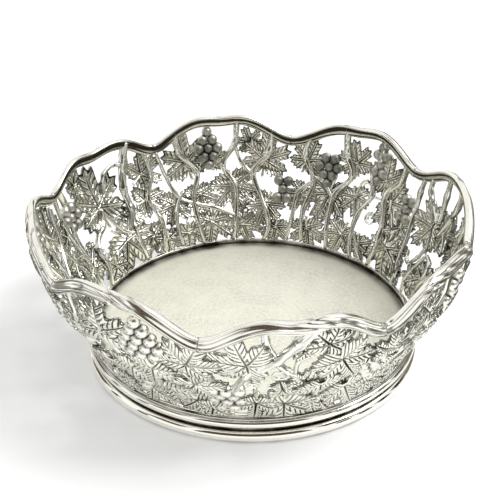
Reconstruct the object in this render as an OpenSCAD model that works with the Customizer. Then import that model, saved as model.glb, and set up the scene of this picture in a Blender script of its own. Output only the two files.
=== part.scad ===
// Wine bottle coaster: a stepped round foot with a flat floor, and round it a pierced gallery
// of vine stems, leaves and grapes that flares up to a wavy rim of reeded branch lengths.
// Millimetres, +Z up, origin at the middle of the resting face, front of the object towards -Y.

/* [Foot and floor] */
// Outer radius of the foot's lower bead
foot_r = 65; // [63:0.5:68]
// Height of the stepped foot
foot_h = 9.4; // [9:0.1:11]
// Radial width of the foot's solid ring
foot_w = 6.6; // [5.5:0.1:8]
// Thickness of the floor plate
floor_t = 1.1; // [0.8:0.1:1.5]
// Thickness of the baize pad under the floor
pad_t = 1.2; // [0.8:0.1:2]

/* [Gallery wall] */
// Radius of the gallery at the rim
rim_r = 81.3; // [78:0.1:86]
// Height at which the flaring wall reaches that radius
flare_z = 60; // [56:0.5:66]
// Height of the plain strip that the vine stands on
sill_h = 2; // [1.5:0.1:3]
// Radial width of that strip
sill_w = 2; // [1.6:0.1:2.4]

/* [Vine] */
// Thickness of the leaves
leaf_t = 1.1; // [0.9:0.1:1.6]
// Scale of the leaves
leaf_scale = 1; // [0.8:0.02:1.1]
// Scale of the stem thickness
stem_scale = 1; // [0.8:0.05:1.2]
// Radius of a grape
grape_r = 2.35; // [2:0.05:2.6]

/* [Rim] */
// Width of the reeded rim moulding
rim_w = 5; // [4:0.1:6]
// Depth of the rim moulding
rim_d = 3.4; // [2.8:0.1:4]
// Scale of the rim's rise from valley to crest
wave_scale = 1; // [0.6:0.05:1.1]

/* [Hidden] */

silver = [0.86, 0.86, 0.83];
bright_silver = [0.93, 0.92, 0.88];
dark_silver = [0.7, 0.7, 0.68];
baize = [0.1, 0.22, 0.16];

// Foot and floor
lower_bead_r = 2.3;
upper_bead_r = 1.6;
fillet_r = 0.4;
foot_in_r = foot_r - foot_w;
groove_r = foot_r - 2.5;
plate_z = foot_h - 0.2 - floor_t;
plate_r = foot_r - 3.7;
pad_gap = 0.3;

// Gallery wall
lobes = 8;
lobe_deg = 360 / lobes;
first_valley_deg = 32.5;
sill_mid_r = foot_r - 2.5;
wall_low_r = foot_r - 2.7;
sill_top = foot_h + sill_h;
// Share of the flare that the wall has reached at even heights, up to flare_z and a step above
flare = [-0.02, 0, 0.12, 0.45, 0.74, 0.91, 1, 1.02];
flare_step = flare_z / 6;

// Height of the rim's middle line at even steps round each lobe, from its valley on
knots_per_lobe = 6;
knot_deg = lobe_deg / knots_per_lobe;
valley_z = 50;
LOBE_HEIGHTS = [
    [51, 57, 62.8, 59.8, 60.5, 55],
    [50, 56, 61.5, 59.5, 61.5, 56.5],
    [50, 58, 60, 57.5, 61, 55.5],
    [52.5, 59.5, 63, 61, 58, 55],
    [50, 57.5, 62.5, 62.3, 62.8, 57.5],
    [48.5, 56, 61.2, 57.4, 61, 56.5],
    [46.5, 54.5, 61, 61, 61, 56],
    [50, 55, 59.5, 61.5, 61, 55]
];

// A leaf is [degrees past the valley, height, reach of its middle lobe, turn of its tip
// clockwise from straight up, seen from outside]
LEAVES = [
    [
        [10.5, 44, 10.5, 5], [6.5, 37, 12, -85], [5.5, 33.5, 8.5, 190], [-1, 22, 13, 185],
        [22.5, 47, 9.5, 20], [30, 33, 13, 165], [39, 44, 9.5, -20], [21, 19.5, 10, 160],
        [35.5, 18, 9.5, 190], [20, 34, 8.5, 200], [12.5, 18, 8, 190], [39.5, 31, 8.5, 150]
    ],
    [
        [8, 43, 12.5, -10], [19, 33, 12.5, 195], [34, 44, 13, 10], [7, 26, 10, 160],
        [28, 20, 10.5, 170], [41, 29, 9.5, 160], [16, 18, 9, 200], [38, 17, 9, 180],
        [26, 44, 8, -20], [31, 31, 9, 185], [3, 17, 8, 170], [13, 50, 7, 20]
    ],
    [
        [24.5, 38.5, 16.5, 2], [5, 43.5, 10, -60], [6, 33.5, 9, -80], [20, 23, 14, 217],
        [44.5, 22, 12.5, 10], [8, 20, 9.5, 200], [29.5, 16.5, 8.5, 150], [38.5, 26, 8, 200],
        [14, 30, 8, 160], [44.5, 37, 8, 40], [2, 17, 8, 180], [31, 51, 6.5, 30]
    ],
    [
        [8.5, 43, 12.5, -20], [17.5, 33, 12.5, 190], [30.5, 45, 13, 5], [10.5, 19, 10, 165],
        [37.5, 29, 11.5, 170], [25, 20, 11, 195], [4, 30, 9, 200], [40.5, 43, 9.5, 25],
        [21, 45, 8, -15], [35.5, 17, 9, 180], [28, 33, 8.5, 150], [16.5, 16, 7.5, 200]
    ],
    [
        [18, 46, 13.5, 5], [41.5, 42, 12.5, 25], [31.5, 36, 10.5, 190], [8, 38, 11.5, -50],
        [14, 26, 11.5, 190], [33, 24.5, 11.5, 170], [5, 22, 10, 200], [42, 30, 11, 150],
        [23.5, 31, 10, 200], [24.5, 18, 9.5, 185], [41, 18, 10, 165], [13.5, 16.5, 8, 170]
    ],
    [
        [11, 43.5, 14, -80], [30, 51, 9.5, 20], [34, 43, 12.5, 150], [24.3, 49, 5.5, -30],
        [22, 17.5, 12.5, 180], [31, 29, 11.5, 170], [41.5, 34, 10.5, 165], [13.5, 19, 8.5, 185],
        [40.5, 22, 11, 160], [30, 20, 9.5, 170], [33.5, 16.5, 8.5, 150], [0.5, 15.5, 7.5, 190],
        [26, 33, 7, 10], [20.5, 28.5, 8, 95]
    ],
    [
        [15, 48, 13.5, 15], [9, 30, 11, 170], [26.5, 37, 13.5, 170], [38.5, 45, 10.5, 10],
        [18.5, 22, 11, 200], [38, 27, 12.5, 160], [29, 20, 10.5, 190], [5, 18, 9, 180],
        [3, 40, 8.5, 5], [19.5, 35, 8.5, -60], [36.5, 16, 8.5, 170], [12, 16, 7.5, 195]
    ],
    [
        [30, 38.5, 12.5, 95], [24, 18, 9, -30], [11, 37, 12.5, -25], [18.5, 24, 11.5, 190],
        [6.5, 22, 10.5, 165], [13, 49, 8.5, -30], [2.5, 43, 9, 10], [12, 16, 8, 190],
        [43.5, 31, 9, 185], [38.5, 23, 8.5, 190], [21, 42, 8, 40], [37.5, 16, 7.5, 170],
        [22.5, 40, 9.5, -75]
    ]
];

// A stem is [radius at its start, radius at its end, points]; a point is
// [degrees past the valley, height]
STEMS = [
    [
        [1.5, 1.1, [[4, 54], [5, 46], [9, 38], [4, 23], [6, 10]]],
        [1.3, 0.95, [[13, 62], [14, 52], [16, 45], [14, 36], [17, 27], [15, 10]]],
        [1.5, 1.05, [[27, 61], [26, 50], [23, 41], [28, 31], [26, 10]]],
        [1.3, 0.95, [[38, 56], [40, 46], [36, 36], [38, 24], [37, 10]]],
        [0.95, 0.8, [[8, 10], [12, 16], [15.5, 22]]], [0.95, 0.8, [[28, 31], [33, 37], [36.5, 38]]],
        [0.95, 0.8, [[36, 36], [41, 31], [42, 20], [44, 10]]]
    ],
    [
        [1.5, 1.1, [[6, 56], [7, 46], [12, 37], [6, 20], [8, 10]]],
        [1.4, 1.05, [[17, 61], [18, 50], [22, 41], [18, 31], [20, 10]]],
        [1.5, 1.05, [[37, 58], [36, 48], [31, 39], [34, 28], [32, 10]]],
        [0.95, 0.8, [[12, 37], [16, 42], [18, 50]]], [0.95, 0.8, [[34, 28], [40, 33], [44, 51]]],
        [0.95, 0.8, [[19, 22], [26, 25], [34, 28]]], [0.95, 0.8, [[37, 33], [42, 24], [41, 10]]]
    ],
    [
        [1.9, 1.2, [[9, 59], [11, 50], [13, 40], [13, 32], [15, 24], [13, 10]]],
        [1, 0.85, [[11.2, 50], [15, 51.2], [19, 49], [20.5, 42]]],
        [1.4, 1.1, [[40, 54], [38.5, 46], [41, 37], [42, 26]]],
        [1.05, 1.1, [[24.5, 37], [27, 31.5], [31, 29.5], [34.5, 26], [34.5, 20], [36, 10]]],
        [1, 0.9, [[3, 52], [2, 42], [5, 33], [3, 24], [5, 10]]],
        [0.95, 0.8, [[15, 24], [20, 27], [24.5, 37]]], [1, 0.9, [[42, 10], [43, 33], [43, 53]]]
    ],
    [
        [1.3, 1.05, [[13.5, 60], [14.5, 50], [13, 40], [14.5, 28], [13, 10]]],
        [1, 0.9, [[2, 52], [4, 42], [8.5, 34], [14.5, 28]]],
        [1.5, 1.05, [[27, 60], [27, 50], [19, 33], [24, 10]]],
        [1.4, 1.05, [[39, 56], [38, 46], [33, 38], [36, 28], [36, 10]]],
        [0.95, 0.8, [[6, 38], [3, 22], [6, 10]]], [0.95, 0.8, [[36, 29], [42, 24], [43, 10]]],
        [0.95, 0.8, [[20, 30], [27, 33], [33, 38]]]
    ],
    [
        [1.4, 1.05, [[8, 57], [8.5, 47], [6, 38], [9, 28], [7, 10]]],
        [1.3, 0.95, [[19, 62], [20, 52], [17, 43], [21, 34], [18, 10]]],
        [1.4, 1.05, [[39, 55], [38, 46], [30, 30], [34, 21], [31, 10]]],
        [0.95, 0.8, [[21, 34], [26, 38], [34, 38]]],
        [0.95, 0.8, [[30.5, 60], [30, 50], [30.5, 38]]],
        [0.95, 0.8, [[34, 21], [40, 26], [43, 34]]], [0.95, 0.8, [[43, 34], [44, 22], [42, 10]]]
    ],
    [
        [1.3, 1.05, [[15, 60], [15.4, 54], [17, 48], [18, 45]]],
        [1.9, 1.2, [[27, 58], [23, 52], [18, 45], [14, 41], [10.5, 36], [7, 24], [5.5, 10]]],
        [1.3, 1.05, [[18.5, 43], [21, 38.5], [24, 34], [23, 24], [19, 10]]],
        [0.95, 0.8, [[13, 30], [13.3, 18], [11.5, 10]]],
        [1.5, 1.05, [[38.5, 55], [37.5, 46], [31, 36], [27, 27], [28, 10]]],
        [1, 0.85, [[3, 52], [4, 44], [8, 38]]], [0.95, 0.8, [[31, 36], [36, 27], [39, 10]]],
        [0.85, 0.7, [[23, 38], [23.3, 43.5], [26, 45.5]]]
    ],
    [
        [1.5, 1.1, [[7, 54], [8, 45], [5, 36], [8, 27], [6, 10]]],
        [1.4, 1.05, [[22, 61], [21, 52], [17, 44], [22, 35], [20, 10]]],
        [1.4, 1.05, [[34, 60], [33, 50], [36, 41], [31, 32], [32, 10]]],
        [0.95, 0.8, [[8, 27], [13, 32], [22, 35]]], [0.95, 0.8, [[31, 32], [38, 28], [41, 10]]],
        [0.95, 0.8, [[36, 41], [41, 45], [43, 53]]], [0.95, 0.8, [[12, 57], [11, 48], [8, 44]]]
    ],
    [
        [1.2, 0.95, [[20.5, 62], [20.5, 53], [25, 38]]],
        [1.2, 0.95, [[28.3, 62], [28.6, 52], [27.5, 42]]],
        [1.1, 0.9, [[36.5, 56], [36.5, 49], [28.5, 41]]],
        [1.1, 0.8, [[40.3, 53], [41, 46], [39, 33], [34.5, 18], [36, 10]]],
        [1.4, 1.05, [[9, 56], [10, 46], [7, 37], [16, 23], [14, 10]]],
        [0.95, 0.8, [[24, 30], [27, 18], [27, 10]]], [0.95, 0.8, [[2, 52], [3, 30], [4, 10]]],
        [0.95, 0.8, [[16, 23], [20, 29], [24, 30]]],
        [0.9, 0.75, [[27, 31], [27.5, 27], [29.5, 23.5], [32, 24], [33.5, 26.5]]]
    ]
];

// A tendril curl is [degrees past the valley, height, radius]
CURLS = [
    [[11.5, 28.5, 2.6], [17, 38.5, 3.4]],
    [[13.5, 26, 2.6]],
    [[32.5, 22, 2.4]],
    [[14, 26, 2.4]],
    [[37, 37, 2.4]],
    [[12.5, 31.5, 2.2], [19.5, 37.5, 3.8]],
    [[14.5, 37.5, 2.4]],
    []
];

// A bunch is [degrees past the valley, height of its top row, grapes in each row];
// the rows of a bunch differ by one grape, so that the grapes nest
BUNCHES = [
    [[14, 57, [1, 2, 1, 2, 1]], [31.5, 46.5, [2, 3, 2, 1]]],
    [[26.5, 56, [1, 2, 3, 2, 1]], [1.5, 35, [2, 1, 2]]],
    [[38, 45, [2, 3, 2]]],
    [[20.5, 56, [1, 2, 3, 2]], [44.2, 44, [2, 3, 2]]],
    [[30, 56.5, [1, 2, 3, 4, 3]], [23, 21.5, [2, 1]]],
    [[5, 26, [3, 2, 3, 2]]],
    [[1, 33, [3, 2, 1]], [28, 54.5, [1, 2, 1, 2]]],
    [[44.2, 41, [2, 1, 2]]]
];

// Radius of the wall at a height: a smooth curve through the shares of the flare
function flare_r(i) = wall_low_r + (rim_r - wall_low_r) * flare[min(max(i, 0), len(flare) - 1)];
function wall_r(z) =
    let(x = min(max(z / flare_step, 0), len(flare) - 1.01), i = floor(x))
    blend(flare_r(i - 1), flare_r(i), flare_r(i + 1), flare_r(i + 2), x - i);

// Lean of the wall away from upright, at a height
function wall_lean(z) = atan((wall_r(z + 0.2) - wall_r(z - 0.2)) / 0.4);

// A place on the wall from [degrees, height, distance out]
function on_wall(p) =
    let(lean = wall_lean(p[1]), reach = wall_r(p[1]) + p[2] * cos(lean))
    [reach * cos(p[0]), reach * sin(p[0]), p[1] - p[2] * sin(lean)];

// The wall's outward direction at the same place
function wall_out(p) =
    let(lean = wall_lean(p[1]))
    [cos(lean) * cos(p[0]), cos(lean) * sin(p[0]), -sin(lean)];

// The place across, up and out from another one, in millimetres along the wall
function beside(p, across, up, out) =
    let(
        half = p[1] + up / 2 * cos(wall_lean(p[1])),
        z = p[1] + up * cos(wall_lean(half))
    )
    [p[0] + across / wall_r(z) * 180 / PI, z, p[2] + out];

function valley_deg(k) = first_valley_deg + lobe_deg * (k - 1);

// The place in lobe k of [degrees past its valley, height], on the wall's middle surface
function in_lobe(k, p) = [p[0] + valley_deg(k), p[1], 0];

function unit(v) = v / norm(v);

// A smooth curve through four points, from the second to the third
function blend(a, b, c, d, t) =
    0.5 * (2 * b + (c - a) * t + (2 * a - 5 * b + 4 * c - d) * t * t
        + (3 * b - a - 3 * c + d) * t * t * t);

// A smooth line through all the points of a list
function smooth(points, steps) =
    let(last = len(points) - 1)
    [
        for (i = [0 : last * steps])
            let(s = min(floor(i / steps), last - 1), t = i / steps - s)
            blend(points[max(s - 1, 0)], points[s], points[s + 1], points[min(s + 2, last)], t)
    ];

// Height of the rim at a knot, counted round the whole rim
function knot_z(i) =
    let(n = lobes * knots_per_lobe, j = (i % n + n) % n)
    valley_z + (LOBE_HEIGHTS[floor(j / knots_per_lobe)][j % knots_per_lobe] - valley_z) * wave_scale;

// Height of the rim's middle line: a cubic B-spline drawn to the knots
function rim_height(deg) =
    let(x = (deg - first_valley_deg) / knot_deg, i = floor(x), t = x - i)
    (pow(1 - t, 3) * knot_z(i - 1) + (3 * t * t * t - 6 * t * t + 4) * knot_z(i)
        + (1 + 3 * t + 3 * t * t - 3 * t * t * t) * knot_z(i + 1) + t * t * t * knot_z(i + 2)) / 6;

// Solid along a line of wall places; each section is a list of [out, across] offsets
module swept(line, sections) {
    n = len(line);
    m = len(sections[0]);
    spots = [for (p = line) on_wall(p)];
    along = [for (i = [0 : n - 1]) unit(spots[min(i + 1, n - 1)] - spots[max(i - 1, 0)])];
    side = [for (i = [0 : n - 1]) unit(cross(along[i], wall_out(line[i])))];
    out = [for (i = [0 : n - 1]) cross(side[i], along[i])];
    skin = [
        for (i = [0 : n - 1])
            for (q = sections[i])
                spots[i] + out[i] * q[0] + side[i] * q[1]
    ];
    polyhedron(
        points = concat(skin, [spots[0], spots[n - 1]]),
        faces = concat(
            [
                for (i = [0 : n - 2])
                    for (j = [0 : m - 1])
                        each [
                            [i * m + j, (i + 1) * m + j, (i + 1) * m + (j + 1) % m],
                            [i * m + j, (i + 1) * m + (j + 1) % m, i * m + (j + 1) % m]
                        ]
            ],
            [for (j = [0 : m - 1]) [n * m, j, (j + 1) % m]],
            [for (j = [0 : m - 1]) [n * m + 1, (n - 1) * m + (j + 1) % m, (n - 1) * m + j]]
        )
    );
}

// Round stem along wall places, tapering from one radius to the other
module stem(line, r0, r1) {
    n = len(line);
    sides = r0 > 1.2 ? 5 : 4;
    swept(line, [
        for (i = [0 : n - 1])
            let(r = stem_scale * (r0 + (r1 - r0) * i / (n - 1)))
            [for (j = [0 : sides - 1]) r * [cos(j * 360 / sides), sin(j * 360 / sides)]]
    ]);
}

// Swollen joint of the vine, where a stem bends or forks
module knuckle(p, r) {
    hull() {
        translate(on_wall(p))
            sphere(r = r, $fn = 4);
        translate(on_wall(beside(p, 0, 1.6 * r, 0)))
            sphere(r = r * 0.7, $fn = 4);
    }
}

// Tendril curled once round into a ring
curl_r = 0.7;
module curl(p, r) {
    turn_points = 8;
    stem([for (i = [0 : turn_points]) beside(p, r * sin(i * 340 / turn_points), r * cos(i * 340 / turn_points), 0)],
        curl_r, curl_r);
}

// A smooth hump of height 1 round a middle value
function bump(x, middle, width) = exp(-pow((x - middle) / width, 2));

// Reach of a vine leaf's edge at an angle from its tip: five lobes and a notch at the stalk
function leaf_reach(x) =
    let(a = abs(x))
    (0.6 + 0.4 * bump(a, 0, 34) + 0.3 * bump(a, 58, 26) + 0.2 * bump(a, 108, 26)
        - 0.34 * bump(a, 30, 8) - 0.28 * bump(a, 84, 8)) * (1 - 0.6 * bump(a, 180, 16));

// How far a leaf's edge curls out at an angle from its tip
function leaf_curl(x) = 0.4 + 0.5 * cos(3 * x);

vein_degs = [0, 60, 105];
function is_vein(x) = len([for (v = vein_degs) if (abs(abs(x) - v) < 3) 1]) > 0;

// Domed leaf with a toothed edge; a large one has sunk veins and a short stalk
leaf_back = -0.6;
leaf_dome = 0.9;
leaf_step = 0.35;
vein_depth = 0.6;
large_leaf = 12;
module leaf(p, size, turn) {
    r = size * leaf_scale;
    large = size > large_leaf;
    n = large ? 24 : 12;
    tooth = large ? 0.06 : 0.08;
    angles = [for (i = [0 : n - 1]) i * 360 / n > 180 ? i * 360 / n - 360 : i * 360 / n];
    edge = [
        for (i = [0 : n - 1])
            let(q = r * leaf_reach(angles[i]) * (i % 2 == 0 ? 1 + tooth : 1 - tooth))
            [q * sin(angles[i] + turn), q * cos(angles[i] + turn)]
    ];
    back = [for (i = [0 : n - 1]) on_wall(beside(p, edge[i][0], edge[i][1], leaf_back + leaf_curl(angles[i])))];
    front = [
        for (i = [0 : n - 1])
            on_wall(beside(p, edge[i][0], edge[i][1], leaf_back + leaf_curl(angles[i]) + leaf_t))
    ];
    crown = [
        for (i = [0 : n - 1])
            let(rise = leaf_dome - (is_vein(angles[i]) ? vein_depth : 0))
            on_wall(beside(p, edge[i][0] * 0.55, edge[i][1] * 0.55, leaf_back + leaf_t + rise))
    ];
    middles = [
        on_wall(beside(p, 0, 0, leaf_back)),
        on_wall(beside(p, 0, 0, leaf_back + leaf_t + (large ? 0.2 : leaf_dome)))
    ];
    polyhedron(
        points = large ? concat(back, front, middles, crown) : concat(back, front, middles),
        faces = concat(
            [for (i = [0 : n - 1]) [2 * n, (i + 1) % n, i]],
            [
                for (i = [0 : n - 1])
                    each [
                        [n + i, (i + 1) % n, n + (i + 1) % n],
                        [n + i, i, (i + 1) % n]
                    ]
            ],
            large ? [
                for (i = [0 : n - 1])
                    let(inner = 2 * n + 2 + i, inner_next = 2 * n + 2 + (i + 1) % n)
                    each [
                        [2 * n + 1, inner, inner_next],
                        [inner, n + (i + 1) % n, inner_next],
                        [inner, n + i, n + (i + 1) % n]
                    ]
            ] : [for (i = [0 : n - 1]) [2 * n + 1, n + i, n + (i + 1) % n]]
        )
    );
    if (large)
        stalk(p, r, turn);
}

// Short stalk that runs back from a leaf's notch to the stem behind it
stalk_r = 0.9;
module stalk(p, r, turn) {
    hull()
        for (b = [[0.24, leaf_back + 0.2], [0.62, 0]])
            translate(on_wall(beside(p, -b[0] * r * sin(turn), -b[0] * r * cos(turn), b[1])))
                sphere(r = stalk_r, $fn = 4);
}

// Outline of the rim's section: a rounded ridge along each edge and a hollow band between,
// as [out, across] offsets, running from one ridge round the outside to the other; the whole
// section leans back, so that its face looks out and a little up
ridge_r = 0.95;
hollow = 0.5;
rim_lean = 24;
function leaned(q) = [
    q[0] * cos(rim_lean) + q[1] * sin(rim_lean),
    q[1] * cos(rim_lean) - q[0] * sin(rim_lean)
];
rim_outline = [
    [-rim_d / 2, -rim_w / 2 + 0.6],
    [rim_d / 2 - ridge_r, -rim_w / 2],
    [rim_d / 2, -rim_w / 2 + ridge_r],
    [rim_d / 2 - hollow, -rim_w / 2 + 2 * ridge_r],
    [rim_d / 2 - hollow, rim_w / 2 - 2 * ridge_r],
    [rim_d / 2, rim_w / 2 - ridge_r],
    [rim_d / 2 - ridge_r, rim_w / 2],
    [-rim_d / 2, rim_w / 2 - 0.6]
];

rim_steps = 12;
module rim_length(k) {
    line = [
        for (i = [0 : rim_steps])
            let(deg = valley_deg(k) + lobe_deg * i / rim_steps)
            [deg, rim_height(deg), 0]
    ];
    swept(line, [for (i = [0 : rim_steps]) [for (q = rim_outline) leaned(q)]]);
}

// Everything below the top of the sill, to cut the stems off flat on it
module below_sill() {
    translate([0, 0, -1])
        cylinder(r = 2 * rim_r, h = sill_top + 1, $fn = 12);
}

module foot_ring() {
    color(bright_silver)
        difference() {
            rotate_extrude($fn = 180) {
                translate([foot_in_r, 0])
                    square([groove_r - foot_in_r, foot_h]);
                translate([foot_in_r, foot_h - 0.6])
                    square([foot_r - 1.6 - foot_in_r, 0.6]);
                translate([foot_r - lower_bead_r, lower_bead_r])
                    circle(r = lower_bead_r, $fn = 48);
                translate([groove_r + 0.2, (2 * lower_bead_r + foot_h - 2 * upper_bead_r - 0.3) / 2])
                    circle(r = fillet_r, $fn = 24);
                translate([foot_r - 0.5 - upper_bead_r, foot_h - 0.3 - upper_bead_r])
                    circle(r = upper_bead_r, $fn = 48);
            }
            translate([0, 0, plate_z])
                cylinder(r = plate_r, h = foot_h, $fn = 180);
        }
}

module floor_plate() {
    color(silver)
        translate([0, 0, plate_z])
            cylinder(r = plate_r, h = floor_t, $fn = 180);
}

module base_pad() {
    color(baize)
        translate([0, 0, plate_z - pad_t])
            cylinder(r = foot_in_r - pad_gap, h = pad_t, $fn = 180);
}

module gallery_sill() {
    color(silver)
        rotate_extrude($fn = 180)
            difference() {
                translate([sill_mid_r - sill_w / 2, foot_h])
                    square([sill_w, sill_h]);
                translate([sill_mid_r + sill_w / 2 + 0.3, foot_h + sill_h / 2])
                    circle(r = 0.7, $fn = 24);
            }
}

module rim_branch(k) {
    color(bright_silver)
        rim_length(k);
}

stem_steps = 2;
module stem_set(k) {
    for (s = STEMS[k - 1]) {
        stem([for (p = smooth(s[2], stem_steps)) in_lobe(k, p)], s[0], s[1]);
        if (s[0] > 1.2)
            for (i = [2 : 2 : len(s[2]) - 2])
                knuckle(in_lobe(k, s[2][i]), s[0] * 1.25);
    }
    for (c = CURLS[k - 1])
        curl(in_lobe(k, c), c[2]);
}

module vine_stems(k) {
    color(dark_silver)
        difference() {
            stem_set(k);
            rim_length(k);
            below_sill();
        }
}

module vine_leaves(k) {
    color(silver)
        difference() {
            for (i = [0 : len(LEAVES[k - 1]) - 1])
                let(f = LEAVES[k - 1][i])
                    leaf(in_lobe(k, f) + [0, 0, leaf_step * (i % 3)], f[2], f[3]);
            below_sill();
        }
}

// Bunch that hangs from its top row, with its middle standing out
grape_pitch = 1.82 * grape_r;
row_pitch = grape_pitch * sin(60);
module bunch(p, rows) {
    for (row = [0 : len(rows) - 1])
        for (i = [0 : rows[row] - 1]) {
            across = (i - (rows[row] - 1) / 2) * grape_pitch;
            out = 0.6 - abs(across) / grape_pitch * 0.5;
            spot = beside(p, across, -row * row_pitch, out);
            translate(on_wall(spot))
                rotate([0, 90 + wall_lean(spot[1]), spot[0]])
                    rotate([0, 0, 120])
                        sphere(r = grape_r, $fn = 32);
        }
}

module grapes(k) {
    color(bright_silver)
        for (b = BUNCHES[k - 1])
            bunch(in_lobe(k, b), b[2]);
}

foot_ring();
floor_plate();
base_pad();
gallery_sill();
rim_branch(1);  // rim_branch_1
rim_branch(2);  // rim_branch_2
rim_branch(3);  // rim_branch_3
rim_branch(4);  // rim_branch_4
rim_branch(5);  // rim_branch_5
rim_branch(6);  // rim_branch_6
rim_branch(7);  // rim_branch_7
rim_branch(8);  // rim_branch_8
vine_stems(1);  // vine_stems_1
vine_stems(2);  // vine_stems_2
vine_stems(3);  // vine_stems_3
vine_stems(4);  // vine_stems_4
vine_stems(5);  // vine_stems_5
vine_stems(6);  // vine_stems_6
vine_stems(7);  // vine_stems_7
vine_stems(8);  // vine_stems_8
vine_leaves(1);  // vine_leaves_1
vine_leaves(2);  // vine_leaves_2
vine_leaves(3);  // vine_leaves_3
vine_leaves(4);  // vine_leaves_4
vine_leaves(5);  // vine_leaves_5
vine_leaves(6);  // vine_leaves_6
vine_leaves(7);  // vine_leaves_7
vine_leaves(8);  // vine_leaves_8
grapes(1);  // grapes_1
grapes(2);  // grapes_2
grapes(3);  // grapes_3
grapes(4);  // grapes_4
grapes(5);  // grapes_5
grapes(6);  // grapes_6
grapes(7);  // grapes_7
grapes(8);  // grapes_8
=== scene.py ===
"""Wine bottle coaster in silver plate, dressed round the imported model.

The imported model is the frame: its foot gives the middle of everything, and each dressed piece
stands for one of its nodes. Lengths in this file are millimetres on the gallery's wall, turned
into metres when a mesh is made.
"""
import logging
from dataclasses import dataclass
from enum import Enum

import bpy
import numpy as np
from mathutils import Matrix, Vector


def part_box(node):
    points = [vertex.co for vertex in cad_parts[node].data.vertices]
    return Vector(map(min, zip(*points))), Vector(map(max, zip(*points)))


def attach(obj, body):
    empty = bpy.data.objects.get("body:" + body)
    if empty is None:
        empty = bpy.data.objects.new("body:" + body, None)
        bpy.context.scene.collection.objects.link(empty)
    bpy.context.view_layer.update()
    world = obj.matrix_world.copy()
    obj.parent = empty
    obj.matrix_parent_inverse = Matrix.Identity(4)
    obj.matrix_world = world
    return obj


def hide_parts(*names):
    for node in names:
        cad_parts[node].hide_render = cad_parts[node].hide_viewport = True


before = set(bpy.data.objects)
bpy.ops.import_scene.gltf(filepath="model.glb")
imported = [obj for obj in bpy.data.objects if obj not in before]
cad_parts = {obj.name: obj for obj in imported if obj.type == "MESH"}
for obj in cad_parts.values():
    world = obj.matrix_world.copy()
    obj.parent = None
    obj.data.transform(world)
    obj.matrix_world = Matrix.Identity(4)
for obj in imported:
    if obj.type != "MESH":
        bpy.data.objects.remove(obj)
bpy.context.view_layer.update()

LOG = logging.getLogger("coaster")
MM = 0.001
LOBES = 8
LOBE_DEG = 360 / LOBES
FIRST_VALLEY_DEG = 32.5
SILL_TOP = 11.4

Array = np.ndarray
Object = bpy.types.Object
Material = bpy.types.Material
Tree = bpy.types.NodeTree
Node = bpy.types.Node
Socket = bpy.types.NodeSocket
Sockets = bpy.types.bpy_prop_collection
Colour = tuple[float, float, float]
Place = tuple[float, float, float]


def shared_middle() -> Array:
    """Middle of the coaster on the table, in metres.

    Returns:
        The middle of the foot's box, at the height of its underside.
    """
    low, high = (np.array(v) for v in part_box("foot_ring"))
    return np.array([(low[0] + high[0]) / 2, (low[1] + high[1]) / 2, low[2]])


MIDDLE = shared_middle()


# Shapes


def bump(x: Array, middle: float, width: float) -> Array:
    """Smooth hump of height 1, exp(-((x - middle) / width)^2)."""
    return np.exp(-(((x - middle) / width) ** 2))


def ramp(x: Array, width: float) -> Array:
    """Share x / width, held between 0 and 1."""
    return np.clip(x / width, 0, 1)


def unit(v: Array) -> Array:
    """Vectors of length 1 along the last axis."""
    return v / np.maximum(np.linalg.norm(v, axis=-1, keepdims=True), 1e-9)


def catmull_rom(a: Array, b: Array, c: Array, d: Array, t: Array) -> Array:
    """Catmull-Rom curve through four places, a share t of the way from the second to the third."""
    square, cube = 2 * a - 5 * b + 4 * c - d, 3 * b - a - 3 * c + d
    return 0.5 * (2 * b + (c - a) * t + square * t**2 + cube * t**3)


def smooth_line(points: Array, steps: int) -> Array:
    """Catmull-Rom line through all the points.

    Args:
        points: The places that the line goes through.
        steps: Samples from one place to the next.

    Returns:
        One row per sample, the first and last place included.
    """
    p = np.vstack([points[:1], points, points[-1:]])
    t = np.linspace(0, 1, steps, endpoint=False)[:, None]
    parts = [catmull_rom(a, b, c, d, t) for a, b, c, d in zip(p, p[1:], p[2:], p[3:])]
    return np.vstack([*parts, p[-1:]])


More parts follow.
